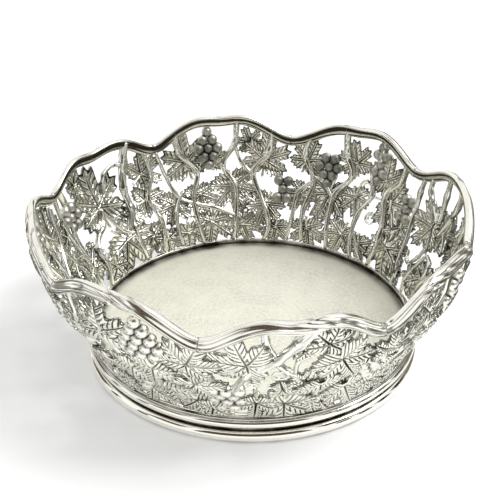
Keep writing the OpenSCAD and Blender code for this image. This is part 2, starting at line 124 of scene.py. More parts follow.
@dataclass(frozen=True)
class Wall:
    """The gallery's wall, swept round: upright on the foot, flaring, upright at the rim."""

    foot_r: float = 62.3
    rim_r: float = 81.3
    step: float = 10.0
    # Share of the flare that is reached at heights 0, 10, 20 and so on
    flare: tuple[float, ...] = (-0.02, 0, 0.12, 0.45, 0.74, 0.91, 1, 1.02)

    def curve(self, z: Array) -> tuple[Array, Array]:
        """Shape of the wall at a height.

        Args:
            z: Height on the wall.

        Returns:
            Its radius, a Catmull-Rom line through the flare's shares, and its slope.
        """
        share = self.foot_r + np.array(self.flare) * (self.rim_r - self.foot_r)
        x = np.clip(np.asarray(z, float) / self.step, 0, len(share) - 1.001)
        i = np.floor(x).astype(int)
        t = x - i
        a, b, c, d = (share[np.clip(i + k, 0, len(share) - 1)] for k in (-1, 0, 1, 2))
        square, cube = 2 * a - 5 * b + 4 * c - d, 3 * b - a - 3 * c + d
        slope = 0.5 * ((c - a) + 2 * square * t + 3 * cube * t**2)
        return catmull_rom(a, b, c, d, t), slope / self.step

    def place(self, deg: Array, z: Array, out: Array) -> Array:
        """Points on or off the wall.

        Args:
            deg: Angle round the coaster.
            z: Height on the wall.
            out: Distance off the wall, outwards.

        Returns:
            X, Y, Z along the last axis: the wall's point plus out times the outward direction.
        """
        radius, slope = self.curve(z)
        lean = 1 / np.sqrt(1 + slope**2)
        a = np.radians(deg)
        reach = radius + out * lean
        return np.stack([reach * np.cos(a), reach * np.sin(a), z - out * slope * lean + 0 * a], -1)

    def outward(self, deg: Array, z: Array) -> Array:
        """The wall's outward direction, square to its slope.

        Args:
            deg: Angle round the coaster.
            z: Height on the wall.

        Returns:
            X, Y, Z along the last axis, of length 1.
        """
        slope = self.curve(z)[1]
        lean, a = 1 / np.sqrt(1 + slope**2), np.radians(deg)
        return np.stack([lean * np.cos(a), lean * np.sin(a), -slope * lean], -1)

    def beside(self, deg: float, z: float, across: Array, up: Array) -> tuple[Array, Array]:
        """Places a few millimetres across and up the wall from one place.

        Args:
            deg: Angle of the first place.
            z: Its height.
            across: Distance to the right, seen from outside.
            up: Distance up along the wall.

        Returns:
            The angles and the heights; a height eases out just above the sill, so that nothing
            hangs below it: sill + ease * log(1 + exp((z - sill) / ease)).
        """
        half = z + 0.5 * up / np.sqrt(1 + self.curve(z)[1] ** 2)
        height = z + up / np.sqrt(1 + self.curve(half)[1] ** 2)
        ease, low = 0.7, SILL_TOP + 0.1
        height = low + ease * np.logaddexp(0, (height - low) / ease)
        return deg + np.degrees(across / self.curve(height)[0]), height


WALL = Wall()


def new_object(name: str, data: bpy.types.ID) -> Object:
    """Makes an object and links it to the scene.

    Args:
        name: Its name.
        data: Its mesh, lamp or camera.

    Returns:
        The object.
    """
    obj = bpy.data.objects.new(name, data)
    bpy.context.scene.collection.objects.link(obj)
    return obj


class Skin:
    """Gathers closed skins of quads and triangles into one mesh."""

    def __init__(self) -> None:
        """Starts empty."""
        self.points: list[Array] = []
        self.quads: list[Array] = []
        self.tris: list[Array] = []
        self.masks: dict[str, list[Array]] = {}
        self.count = 0

    def add(self, grid: Array, ring: bool = False, **masks: Array) -> None:
        """Adds a closed skin from rows of points that each run once round.

        Args:
            grid: Rows by columns by X, Y, Z; a row's last column joins its first.
            ring: The last row joins the first row; otherwise each end closes on its middle.
            masks: Named values per point, each rows by columns.
        """
        n, m = grid.shape[:2]
        index = np.arange(n * m).reshape(n, m)
        rows = np.vstack([index, index[:1]]) if ring else index
        a, b = rows[:-1], rows[1:]
        quads = np.stack([a, np.roll(a, -1, 1), np.roll(b, -1, 1), b], -1).reshape(-1, 4)
        points = grid.reshape(-1, 3)
        tris = np.empty((0, 3), int)
        ends = []
        if not ring:
            points = np.vstack([points, grid[0].mean(0), grid[-1].mean(0)])
            first, last = index[0], index[-1]
            fans = (n * m, np.roll(first, -1), first), (n * m + 1, last, np.roll(last, -1))
            tris = np.vstack([np.stack([np.full(m, hub), b, c], -1) for hub, b, c in fans])
            ends = [0, -1]
        whole = np.vstack([quads[:, [0, 1, 2]], quads[:, [0, 2, 3]], tris])
        corner = points[whole]
        volume = np.einsum("ij,ij->", corner[:, 0], np.cross(corner[:, 1], corner[:, 2]))
        if volume < 0:
            quads, tris = quads[:, ::-1], tris[:, ::-1]
        self.points.append(points)
        self.quads.append(quads + self.count)
        self.tris.append(tris + self.count)
        for name, values in masks.items():
            flat = np.concatenate([values.reshape(-1), [values[i].mean() for i in ends]])
            self.masks.setdefault(name, []).append(flat)
        self.count += len(points)

    def piece(self, name: str) -> Object:
        """Makes the object, in metres, smooth and at the shared middle.

        Args:
            name: The piece's name.

        Returns:
            The new object, with one float attribute per mask.
        """
        points = np.vstack(self.points) * MM + MIDDLE
        faces = np.vstack(self.quads).tolist() + np.vstack(self.tris).tolist()
        mesh = bpy.data.meshes.new(name)
        mesh.from_pydata(points.tolist(), [], faces)
        mesh.shade_smooth()
        for mask, parts in self.masks.items():
            layer = mesh.attributes.new(mask, "FLOAT", "POINT")
            layer.data.foreach_set("value", np.concatenate(parts).astype(np.float32))
        mesh.validate()
        return new_object(name, mesh)


def sweep(line: Array, section: Array) -> Array:
    """Carries a section along a line on the wall.

    Args:
        line: Rows of degrees, height and distance out.
        section: Rows by columns by outward and sideways offset.

    Returns:
        Rows by columns by X, Y, Z: spot + out * offset + side * offset, with side square to the
        line and to the wall's outward direction.
    """
    spots = WALL.place(line[:, 0], line[:, 1], line[:, 2])
    along = unit(np.gradient(spots, axis=0))
    side = unit(np.cross(along, WALL.outward(line[:, 0], line[:, 1])))
    out = np.cross(side, along)
    return spots[:, None] + out[:, None] * section[..., :1] + side[:, None] * section[..., 1:]


def run_along(line: Array) -> Array:
    """Distance run along a line of wall places, in millimetres."""
    spots = WALL.place(line[:, 0], line[:, 1], line[:, 2])
    return np.concatenate([[0], np.cumsum(np.linalg.norm(np.diff(spots, axis=0), axis=1))])


def revolve(outline: Array, columns: int) -> Array:
    """Turns an outline of radius and height once round the upright axis.

    Args:
        outline: Rows of radius and height.
        columns: Steps round.

    Returns:
        Rows by columns by X, Y, Z.
    """
    a = np.linspace(0, 2 * np.pi, columns, endpoint=False)
    r, z = outline[:, :1], outline[:, 1:]
    return np.stack([r * np.cos(a), r * np.sin(a), z + 0 * a], -1)


def arc(r: float, z: float, radius: float, start: float, end: float, steps: int) -> Array:
    """Outline points on an arc, from one angle to another in degrees."""
    a = np.radians(np.linspace(start, end, steps))
    return np.stack([r + radius * np.cos(a), z + radius * np.sin(a)], -1)


# Finishes


Feed = Socket | float | Colour


class Graph:
    """Adds nodes to one tree and joins them."""

    def __init__(self, tree: Tree) -> None:
        """Works on the given tree."""
        self.tree = tree

    def feed(self, socket: Socket, value: Feed) -> None:
        """Links a socket, or sets its own value.

        Args:
            socket: The socket that is fed.
            value: Another socket, a number or a colour.
        """
        if isinstance(value, Socket):
            self.tree.links.new(value, socket)
        elif isinstance(value, tuple):
            socket.default_value = (*value, 1.0) if len(socket.default_value) == 4 else value
        else:
            socket.default_value = value

    def node(self, kind: str, inputs: dict | None = None, **settings: object) -> Node:
        """Adds a node.

        Args:
            kind: The node's type.
            inputs: Values or sockets for its inputs, by name or number.
            settings: Its other settings.

        Returns:
            The new node.
        """
        node = self.tree.nodes.new(kind)
        for key, value in settings.items():
            setattr(node, key, value)
        for key, value in (inputs or {}).items():
            self.feed(node.inputs[key], value)
        return node

    def math(self, operation: str, a: Feed, b: Feed = 0.0, clamp: bool = False) -> Socket:
        """Result of one math operation."""
        node = self.node("ShaderNodeMath", {0: a, 1: b}, operation=operation, use_clamp=clamp)
        return node.outputs[0]

    def blend(self, share: Feed, a: Feed, b: Feed) -> Socket:
        """Colour between two colours."""
        node = self.node("ShaderNodeMix", {0: share, 6: a, 7: b}, data_type="RGBA")
        return node.outputs[2]

    def spread(self, value: Feed, low: float, high: float, to_low: float, to_high: float) -> Socket:
        """Value mapped from one range to another, and held inside it."""
        node = self.node("ShaderNodeMapRange", {0: value, 1: low, 2: high, 3: to_low, 4: to_high})
        return node.outputs[0]

    def bump(self, height: Feed, strength: float, metres: float, **under: Socket) -> Socket:
        """Normal of a surface that stands out by a height, over another Normal if one is given."""
        inputs = {"Strength": strength, "Distance": metres, "Height": height} | under
        return self.node("ShaderNodeBump", inputs).outputs[0]

    def length(self, place: Feed) -> Socket:
        """Distance of a place from the origin."""
        node = self.node("ShaderNodeVectorMath", {0: place}, operation="LENGTH")
        return node.outputs["Value"]

    def noise(self, place: Feed, scale: float, detail: float = 3.0) -> Socket:
        """Cloudy noise from 0 to 1 at a place."""
        node = self.node("ShaderNodeTexNoise", {"Vector": place, "Scale": scale, "Detail": detail})
        return node.outputs[0]


def new_group(
    name: str, inputs: dict[str, str], outputs: dict[str, str]
) -> tuple[Graph, Sockets, Sockets]:
    """Starts a shader node group.

    Args:
        name: The group's name.
        inputs: Kind of socket for each input name.
        outputs: Kind of socket for each output name.

    Returns:
        Its graph, the sockets of what it is given, and the sockets of what it gives.
    """
    tree = bpy.data.node_groups.new(name, "ShaderNodeTree")
    for side, kinds in (("INPUT", inputs), ("OUTPUT", outputs)):
        for label, kind in kinds.items():
            tree.interface.new_socket(name=label, in_out=side, socket_type=f"NodeSocket{kind}")
    given, result = (tree.nodes.new(f"NodeGroup{side}") for side in ("Input", "Output"))
    return Graph(tree), given.outputs, result.inputs


def new_material(name: str) -> tuple[Material, Graph, Sockets]:
    """Starts a material.

    Args:
        name: Its name.

    Returns:
        The material, its graph, and the sockets of its shader.
    """
    mat = bpy.data.materials.new(name)
    mat.use_nodes = True
    return mat, Graph(mat.node_tree), mat.node_tree.nodes["Principled BSDF"].inputs


def tarnish_and_shade_group() -> Tree:
    """Colour, roughness and fine scratches of silver plate, darkened by tarnish where polish can't
    reach and by painted shade.

    Returns:
        The group: mask = given mask of tarnish and painted shade * (0.6 to 1.3 with the clouds)
        + film * clouds; colour blends from bright to dark with the mask, and roughness grows with
          it.
    """
    clouds_per_m, specks_per_m, dulling = 95.0, 900.0, 0.3
    g, given, result = new_group(
        "plate_tarnish_and_shade",
        {"Place": "Vector", "Bright": "Color", "Dark": "Color"}
        | dict.fromkeys(("Shade_and_tarnish", "Film", "Rough"), "Float"),
        {"Color": "Color", "Roughness": "Float", "Height": "Float"},
    )
    cloud = g.noise(given["Place"], clouds_per_m)
    speck = g.noise(given["Place"], specks_per_m, 2.0)
    # The first given mask holds painted shade in recesses, under parts and on shaded sides, with
    # tarnish in hollows
    sunk = g.math("MULTIPLY", given["Shade_and_tarnish"], g.spread(cloud, 0.3, 0.7, 0.6, 1.3))
    film = g.math("MULTIPLY", g.spread(cloud, 0.45, 0.75, 0.0, 1.0), given["Film"])
    mask = g.math("ADD", sunk, film, clamp=True)
    g.feed(result["Color"], g.blend(mask, given["Bright"], given["Dark"]))
    grain = g.spread(speck, 0.3, 0.7, -0.03, 0.04)
    worn = g.math("ADD", given["Rough"], g.math("MULTIPLY", mask, dulling))
    g.feed(result["Roughness"], g.math("ADD", worn, grain, clamp=True))
    g.feed(result["Height"], g.math("ADD", g.math("MULTIPLY", speck, 0.5), cloud))
    return g.tree


def vein_group() -> Tree:
    """Fine veins of a leaf from its phase along the side veins and the distance from its ribs.

    Returns:
        The group: side veins are (0.5 + 0.5 cos(2 pi phase))^sharp away from the rib, and the rib
        is exp(-(distance / rib_half)^2).
    """
    sharp, rib_half = 5.0, 0.26
    g, given, result = new_group(
        "leaf_veins", {"Phase": "Float", "Side": "Float"}, {"Groove": "Float", "Height": "Float"}
    )
    wave = g.math("COSINE", g.math("MULTIPLY", given["Phase"], 2 * np.pi))
    side_vein = g.math("POWER", g.spread(wave, -1.0, 1.0, 0.0, 1.0), sharp)
    clear = g.spread(given["Side"], 0.3, 0.9, 0.0, 1.0)
    near = g.math("DIVIDE", given["Side"], rib_half)
    rib = g.math("EXPONENT", g.math("MULTIPLY", g.math("MULTIPLY", near, near), -1.0))
    groove = g.math("MAXIMUM", g.math("MULTIPLY", side_vein, clear), rib)
    g.feed(result["Groove"], groove)
    g.feed(result["Height"], g.math("SUBTRACT", 1.0, groove))
    return g.tree


def turning_group() -> Tree:
    """Fine rings left by the lathe on the floor, over a matted satin.

    Returns:
        The group: rings are noise of the distance from the axis, mixed half and half with noise
        of the place, as a height and as a mask.
    """
    rings_per_m, grains_per_m = 1500.0, 750.0
    g, given, result = new_group(
        "lathe_lines", {"Place": "Vector"}, {"Height": "Float", "Line": "Float"}
    )
    level = {0: given["Place"], 1: (1.0, 1.0, 0.0)}
    flat = g.node("ShaderNodeVectorMath", level, operation="MULTIPLY").outputs[0]
    reach = g.node("ShaderNodeCombineXYZ", {0: g.length(flat)}).outputs[0]
    rings = g.noise(reach, rings_per_m, 2.0)
    matted = g.noise(given["Place"], grains_per_m, 4.0)
    line = g.math("MULTIPLY", g.math("ADD", rings, matted), 0.5)
    g.feed(result["Height"], line)
    g.feed(result["Line"], g.spread(line, 0.38, 0.62, 0.0, 1.0))
    return g.tree


class Relief(Enum):
    """What a finish adds to the plain plate."""

    PLAIN = "plain"
    VEINED = "veined"
    TURNED = "turned"


@dataclass(frozen=True)
class Plate:
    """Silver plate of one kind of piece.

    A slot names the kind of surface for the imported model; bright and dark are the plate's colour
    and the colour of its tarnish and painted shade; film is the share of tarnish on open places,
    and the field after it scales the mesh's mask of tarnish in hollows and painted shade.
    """

    name: str
    slot: str
    bright: Colour
    dark: Colour
    rough: float
    film: float
    cavity: float = 0.9
    bump: float = 0.25
    relief: Relief = Relief.PLAIN
    turned_line: float = 0.17
    fine_share: float = 0.3
    fine_height: float = 0.00008
    cut_height: float = 0.0003

    def material(self, groups: dict[str, Tree]) -> Material:
        """Builds the material.

        Args:
            groups: The shared node groups by name.

        Returns:
            A metal whose colour, roughness and normal come from the groups.
        """
        mat, g, shader = new_material(self.name)
        shader["Metallic"].default_value = 1.0
        place = g.node("ShaderNodeTexCoord").outputs["Object"]
        # The mesh's mask darkens the colour: tarnish in hollows and painted shade
        cavity = g.math("MULTIPLY", self.mask(g, "cavity"), self.cavity)
        height: Socket | None = None
        if self.relief is Relief.VEINED:
            masks = {"Phase": self.mask(g, "phase"), "Side": self.mask(g, "side")}
            veins = g.node("ShaderNodeGroup", masks, node_tree=groups["veins"])
            groove = g.math("MULTIPLY", veins.outputs["Groove"], self.cavity)
            cavity = g.math("MAXIMUM", cavity, groove)
            height = veins.outputs["Height"]
        elif self.relief is Relief.TURNED:
            lines = g.node("ShaderNodeGroup", {"Place": place}, node_tree=groups["lines"])
            ring = g.math("MULTIPLY", lines.outputs["Line"], self.turned_line)
            cavity = g.math("MAXIMUM", cavity, ring)
            height = lines.outputs["Height"]
        given = {"Place": place, "Shade_and_tarnish": cavity, "Film": self.film}
        given |= {"Bright": self.bright, "Dark": self.dark, "Rough": self.rough}
        shade_and_wear = g.node("ShaderNodeGroup", given, node_tree=groups["tarnish_and_shade"]).outputs
        normal = g.bump(shade_and_wear["Height"], self.bump * self.fine_share, self.fine_height)
        if height is not None:
            normal = g.bump(height, self.bump, self.cut_height, Normal=normal)
        g.feed(shader["Base Color"], shade_and_wear["Color"])
        g.feed(shader["Roughness"], shade_and_wear["Roughness"])
        g.feed(shader["Normal"], normal)
        return mat

    @staticmethod
    def mask(g: Graph, name: str) -> Socket:
        """A mask that the mesh carries."""
        return g.node("ShaderNodeAttribute", attribute_name=name).outputs["Fac"]


@dataclass(frozen=True)
class Baize:
    """Green baize with a short, matted pile."""

    name: str = "green_baize"
    slot: str = "baize"
    pale: Colour = (0.035, 0.13, 0.075)
    deep: Colour = (0.012, 0.06, 0.035)
    rough: float = 0.95
    sheen: float = 0.3
    tufts_per_m: float = 2200.0
    patches_per_m: float = 160.0

    def material(self, _groups: dict[str, Tree]) -> Material:
        """Builds the material.

        Args:
            _groups: The shared node groups, which cloth doesn't use.

        Returns:
            A rough cloth whose colour and height are matted noise.
        """
        mat, g, shader = new_material(self.name)
        shader["Roughness"].default_value = self.rough
        shader["Sheen Weight"].default_value = self.sheen
        place = g.node("ShaderNodeTexCoord").outputs["Object"]
        pile = g.noise(place, self.tufts_per_m, 4.0)
        matted = g.noise(place, self.patches_per_m, 3.0)
        share = g.spread(g.math("ADD", pile, matted), 0.7, 1.3, 0.0, 1.0)
        g.feed(shader["Base Color"], g.blend(share, self.deep, self.pale))
        g.feed(shader["Normal"], g.bump(pile, 0.6, 0.0003))
        return mat


class Finish(Enum):
    """The finishes of this coaster: name, slot, bright, dark, roughness and film."""

    FOOT = Plate(
        "foot_plate", "moulding_silver", (0.99, 0.98, 0.9), (0.055, 0.04, 0.028), 0.08, 0.04
    )
    RIM = Plate(
        "rim_plate", "moulding_silver", (0.94, 0.925, 0.84), (0.042, 0.036, 0.027), 0.14, 0.12
    )
    FLOOR = Plate(
        "floor_plate_silver", "floor_silver", (0.97, 0.96, 0.86), (0.10, 0.09, 0.07), 0.68, 0.02,
        bump=0.3, relief=Relief.TURNED,
    )
    STEM = Plate("stem_plate", "vine_silver", (0.93, 0.93, 0.86), (0.03, 0.033, 0.026), 0.12, 0.1)
    LEAF = Plate(
        "leaf_plate", "leaf_silver", (0.95, 0.945, 0.845), (0.018, 0.02, 0.015), 0.09, 0.05,
        cavity=1.0, bump=0.8, relief=Relief.VEINED,
    )
    GRAPE = Plate(
        "grape_plate", "grape_silver", (0.96, 0.95, 0.87), (0.03, 0.03, 0.024), 0.26, 0.06
    )
    PAD = Baize()


class Wardrobe:
    """Keeps the shared groups and one material per finish."""

    def __init__(self) -> None:
        """Builds the shared groups; no material is made yet."""
        self.groups = {"tarnish_and_shade": tarnish_and_shade_group(), "veins": vein_group(), "lines": turning_group()}
        self.made: dict[Finish, Material] = {}

    def dress(self, obj: Object, finish: Finish, node: str) -> None:
        """Gives a piece its finish and its place in the frame, and hides the node that it stands
        for.

        Args:
            obj: The new piece.
            finish: Its finish.
            node: The node of the frame that it stands for.
        """
        if finish not in self.made:
            self.made[finish] = finish.value.material(self.groups)
        obj.data.materials.clear()
        obj.data.materials.append(self.made[finish])
        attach(obj, "root")
        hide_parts(node)
        LOG.info("%s: %d faces, for %s", obj.name, len(obj.data.polygons), node)


# Foot and floor


@dataclass(frozen=True)
class Base:
    """Stepped foot, floor plate, sill and baize pad, all turned round the axis."""

    foot_r: float = 65.0
    foot_h: float = 9.4
    foot_w: float = 6.6
    groove: float = 2.5
    lower_bead_r: float = 2.3
    upper_bead_r: float = 1.6
    upper_bead_in: float = 0.5
    upper_bead_drop: float = 0.3
    fillet_r: float = 0.4
    step_r: float = 63.4
    plate_r: float = 61.3
    plate_z: float = 8.1
    # Between which heights, and behind which radius, the groove between the beads is dark
    dark_low: float = 3.2
    dark_high: float = 7.0
    dark_r: float = 64.0
    floor_t: float = 1.1
    floor_edge: float = 3.0
    hub_r: float = 2.0
    fillet_in: float = 2.6
    fillet_w: float = 2.5
    fillet_h: float = 0.55
    pad_t: float = 1.2
    pad_gap: float = 0.3
    pad_nap: float = 0.05
    sill_w: float = 2.0
    columns: int = 288
    pad_columns: int = 192

    def turned(self, name: str, outline: Array, sunk: Array, ring: bool = True) -> Object:
        """Turns an outline into a piece.

        Args:
            name: The piece's name.
            outline: Rows of radius and height.
            sunk: The mask along the outline that darkens the colour, tarnish and painted shade.
            ring: The outline's last point joins its first.

        Returns:
            The piece.
        """
        skin = Skin()
        cavity = np.repeat(sunk[:, None], self.columns, 1)
        skin.add(revolve(outline, self.columns), ring, cavity=cavity)
        return skin.piece(name)

    def foot(self) -> Object:
        """Two beads with a fillet in the groove between them.

        Returns:
            The foot; its cavity mask is how far the outline lies behind the beads.
        """
        wall, inner = self.foot_r - self.groove, self.foot_r - self.foot_w
        low, upper, top = self.lower_bead_r, self.upper_bead_r, self.foot_h
        upper_r, drop = self.foot_r - self.upper_bead_in - upper, self.upper_bead_drop
        fillet_z = (2 * low + top - 2 * upper - drop) / 2
        step, plate_r, plate_z = self.step_r, self.plate_r, self.plate_z
        outline = np.vstack(
            [
                [[inner, 0.15], [inner + 0.15, 0], [inner + 2, 0]],
                arc(self.foot_r - low, low, low, -90, 92, 40),
                arc(wall + 0.2, fillet_z, self.fillet_r, -115, 115, 14),
                arc(upper_r, top - drop - upper, upper, -103, 68, 32),
                [[step + 0.02, top - 0.25], [step - 0.02, top - 0.06], [step - 0.1, top]],
                [[plate_r + 0.1, top], [plate_r, top - 0.1]],
                [[plate_r, plate_z + 0.05], [plate_r - 0.05, plate_z]],
                [[inner + 0.1, plate_z], [inner, plate_z - 0.1], [inner, 4.0]],
            ]
        )
        r, z = outline.T
        groove = (z > self.dark_low) & (z < self.dark_high) & (r > wall - 0.5)
        between_beads = ramp(self.dark_r - r, 0.9) * groove
        # Painted shade under the sill's overhang and where the lower bead meets the table
        shade_under_sill = bump(z, top, 0.5) * (r > wall)
        table_contact_shade = ramp(1.3 - z, 0.8)
        sunk = np.maximum(between_beads, 0.9 * np.maximum(shade_under_sill, table_contact_shade))
        return self.turned("foot_moulding", outline, sunk)

    def floor(self) -> Object:
        """Flat plate whose edge turns up in a small fillet, with painted shade towards its edge.

        Returns:
            The floor.
        """
        low, top, r, hub = self.plate_z, self.plate_z + self.floor_t, self.plate_r, self.hub_r
        turn = np.linspace(0, 1, 14)
        rows = np.linspace(hub, r - self.floor_edge, 24)
        edge = [r - self.fillet_in + self.fillet_w * turn, top + self.fillet_h * turn**2.4]
        outline = np.vstack(
            [
                np.stack([rows, np.full(len(rows), top)], -1),
                np.stack(edge, -1),
                [[r - 0.02, top + 0.45], [r, low + 0.1], [r - 0.1, low], [30, low], [hub, low]],
            ]
        )
        # Painted shade along the floor's edge, where it meets the sill
        return self.turned("floor_disc", outline, bump(outline[:, 0], r, 2.3), ring=False)

    def sill(self) -> Object:
        """Plain strip under the vine with softened edges and a hollow outside.

        Returns:
            The sill.
        """
        mid, half = self.foot_r - self.groove - 0.01, self.sill_w / 2
        low, high = self.foot_h, SILL_TOP
        outline = np.vstack(
            [
                [[mid - half, low], [mid + half, low], [mid + half, low + 0.3]],
                arc(mid + half + 0.3, low + 1, 0.7, 245, 115, 12),
                [[mid + half, high - 0.25], [mid + half - 0.2, high], [mid - half + 0.3, high]],
                [[mid - half + 0.08, high - 0.1], [mid - half, high - 0.35]],
            ]
        )
        r, z = outline.T
        hollow = (r > mid) & (r < mid + half - 0.05) & (z < high - 0.1)
        # The outer hollow is darkened, and the inner face carries painted shade
        sunk = np.maximum(0.9 * hollow, 0.95 * (r < mid - half + 0.2))
        return self.turned("gallery_strip", outline, sunk)

    def pad(self) -> Object:
        """Baize disc with a soft rounded edge and an uneven nap underneath.

        Returns:
            The pad.
        """
        r, half = self.foot_r - self.foot_w - self.pad_gap, self.pad_t / 2
        top, low = self.plate_z, self.plate_z - self.pad_t
        rows = np.linspace(1.0, r - 0.8, 30)
        outline = np.vstack(
            [
                np.stack([rows, np.full(len(rows), top)], -1),
                arc(r - half, (top + low) / 2, half, 80, -80, 12),
                np.stack([rows[::-1], np.full(len(rows), low)], -1),
            ]
        )
        grid = revolve(outline, self.pad_columns)
        a, reach = np.arctan2(grid[..., 1], grid[..., 0]), np.hypot(grid[..., 0], grid[..., 1])
        nap = self.pad_nap * np.sin(9 * a + reach / 5) * np.sin(reach / 3.1 + 2 * np.sin(4 * a))
        grid[..., 2] += np.where(grid[..., 2] < low + 0.3, np.maximum(nap, -0.04), 0)
        skin = Skin()
        skin.add(grid)
        return skin.piece("baize_disc")

    def build(self, wardrobe: Wardrobe) -> None:
        """Builds the four pieces.

        Args:
            wardrobe: What dresses them.
        """
        wardrobe.dress(self.foot(), Finish.FOOT, "foot_ring")
        wardrobe.dress(self.floor(), Finish.FLOOR, "floor_plate")
        wardrobe.dress(self.sill(), Finish.FOOT, "gallery_sill")
        wardrobe.dress(self.pad(), Finish.PAD, "base_pad")


# Rim


# Height of the rim's middle line at even steps round each lobe, from its valley on
RIM_HEIGHTS = [
    [51, 57, 62.8, 59.8, 60.5, 55],
    [50, 56, 61.5, 59.5, 61.5, 56.5],
    [50, 58, 60, 57.5, 61, 55.5],
    [52.5, 59.5, 63, 61, 58, 55],
    [50, 57.5, 62.5, 62.3, 62.8, 57.5],
    [48.5, 56, 61.2, 57.4, 61, 56.5],
    [46.5, 54.5, 61, 61, 61, 56],
    [50, 55, 59.5, 61.5, 61, 55],
]


@dataclass(frozen=True)
class Rim:
    """Wavy reeded rim in eight lengths, with twisted joints like a vine's."""

    width: float = 5.0
    depth: float = 3.4
    lean_deg: float = 24.0
    knots_per_lobe: int = 6
    steps: int = 96
    front_columns: int = 44
    back_columns: int = 30
    strand_across: float = 2.6
    strand_along: float = 9.0
    twist_share: float = 0.8
    line_dark: float = 1.7
    # How much further on the pattern each length starts, and what its lapped ends narrow and
    # darken by
    run_step: float = 51.0
    lap: float = 0.03
    lap_deg: float = 0.35
    crease: float = 0.5
    crease_deg: float = 0.15
    # Ridges and grooves across the outer face: height or depth, place, shares of the drift and of
    # the stray that move it, and width
    ridges: tuple = (
        (0.42, -1.95, 0.4, 0, 0.3), (0.5, 1.1, 0, 1, 0.45),
        (0.25, 2.1, 0, 0, 0.25), (-0.22, -0.9, 1, 0, 0.8),
    )
    grooves: tuple = (
        (0.8, -1.5, 0.4, 0, 0.16), (1, 0.45, 0, 1, 0.18),
        (1, 1.75, 0, 0.5, 0.15), (0.8, -0.45, 1, 0, 0.14),
    )
    # The drift and the stray: sums of height * sin(run / length + start)
    drift: tuple = ((0.3, 9, 0), (0.12, 3.7, 0))
    stray: tuple = ((0.3, 7, 1.3), (0.15, 3.1, 0))
    # Where the inner face's lower line is broader: by how much, degrees round, spread
    broad: tuple = ((0.6, 130, 32), (0.45, 68, 16))
    # Where the strands twist round each other: degrees round, and spread
    twists: tuple = (
        (318, 4.5), (239, 4), (146, 5), (60, 4.5), (12, 4), (100, 4), (194, 4.5), (284, 3.5),
    )

    def height(self, deg: Array) -> Array:
        """Height of the rim's middle line.

        Args:
            deg: Angle round the coaster.

        Returns:
            The heights, a cubic B-spline drawn to RIM_HEIGHTS.
        """
        knots = np.array(RIM_HEIGHTS).ravel()
        x = (deg - FIRST_VALLEY_DEG) / (LOBE_DEG / self.knots_per_lobe)
        i = np.floor(x).astype(int)
        t = x - i
        a, b, c, d = (knots[(i + k) % len(knots)] for k in (-1, 0, 1, 2))
        low = (1 - t) ** 3 * a + (3 * t**3 - 6 * t**2 + 4) * b
        return (low + (1 + 3 * t + 3 * t**2 - 3 * t**3) * c + t**3 * d) / 6

    def section(self, deg: Array, run: Array) -> tuple[Array, Array]:
        """The moulding's section along the rim.

        The outer face is a bow plus ridges at the edges and a hollow band between; at a twist,
        slanting strands cos(across - run) take over. The inner face has two sunk lines.

        Args:
            deg: Angle of each row.
            run: Distance along the rim of each row.

        Returns:
            The offsets, rows by columns by outward and sideways, and the mask that darkens its
            grooves and lines.
        """
        half, face = self.width / 2, self.depth / 2
        t = -half * np.cos(np.linspace(0, np.pi, self.front_columns))[None, :]
        s, d = run[:, None], deg[:, None]
        drift, stray = (
            sum(h * np.sin(s / length + start) for h, length, start in waves)
            for waves in (self.drift, self.stray)
        )
        ridge, groove = (
            sum(h * bump(t, place + a * drift + b * stray, wide) for h, place, a, b, wide in rows)
            for rows in (self.ridges, self.grooves)
        )
        twist = np.clip(sum(bump(d, middle, wide) for middle, wide in self.twists), 0, 1)
        slant = np.cos(2 * np.pi * (t / self.strand_across - s / self.strand_along))
        bow = (face - 0.3) * (1 - np.abs(t / half) ** 2.2) ** 0.5
        twisted = self.twist_share * twist
        front = bow + (1 - twisted) * ridge + twisted * (0.3 + 0.32 * slant)
        sunk = np.clip((1 - twist) * groove * 0.95 + 0.7 * twist * np.clip(-slant, 0, 1) ** 3, 0, 1)
        back_t = half * np.cos(np.linspace(0, np.pi, self.back_columns + 2)[1:-1])[None, :]
        width = 0.32 + sum(more * bump(d, middle, wide) for more, middle, wide in self.broad)
        lines = bump(back_t, 0.8 + stray, 0.42) + 1.4 * bump(back_t, -1.2 + 0.5 * drift, width)
        lines = np.clip(lines, 0, 1)
        back_bow = -face * (1 - np.abs(back_t / half) ** 2.6) ** 0.5
        back = back_bow + 0.22 * lines - 0.12 * np.cos(back_t * 2.6)
        out, across = np.hstack([front, back]), np.hstack([t + 0 * s, back_t + 0 * s])
        cos, sin = np.cos(np.radians(self.lean_deg)), np.sin(np.radians(self.lean_deg))
        turned = np.stack([out * cos + across * sin, across * cos - out * sin], -1)
        return turned, np.hstack([sunk, self.line_dark * lines])

    def length(self, k: int) -> Object:
        """One length of the rim, from a valley to the next, narrowed at its lapped ends.

        Args:
            k: The lobe, from 0.

        Returns:
            The piece.
        """
        start = FIRST_VALLEY_DEG + LOBE_DEG * k
        step = LOBE_DEG / (self.steps - 1)
        deg = np.linspace(start - step, start + LOBE_DEG + step, self.steps + 2)
        line = np.stack([deg, self.height(deg), 0 * deg], -1)
        run = run_along(line) + self.run_step * k
        offsets, sunk = self.section(deg % 360, run)
        ends = np.minimum(deg - start, start + LOBE_DEG - deg)
        offsets *= (1 - self.lap * bump(ends, 0, self.lap_deg))[:, None, None]
        sunk = np.maximum(sunk, self.crease * bump(ends, 0, self.crease_deg)[:, None])
        skin = Skin()
        skin.add(sweep(line, offsets)[1:-1], cavity=sunk[1:-1])
        return skin.piece(f"rim_moulding_{k + 1}")

    def build(self, wardrobe: Wardrobe) -> None:
        """Builds and dresses the eight lengths."""
        for k in range(LOBES):
            wardrobe.dress(self.length(k), Finish.RIM, f"rim_branch_{k + 1}")


# Vine


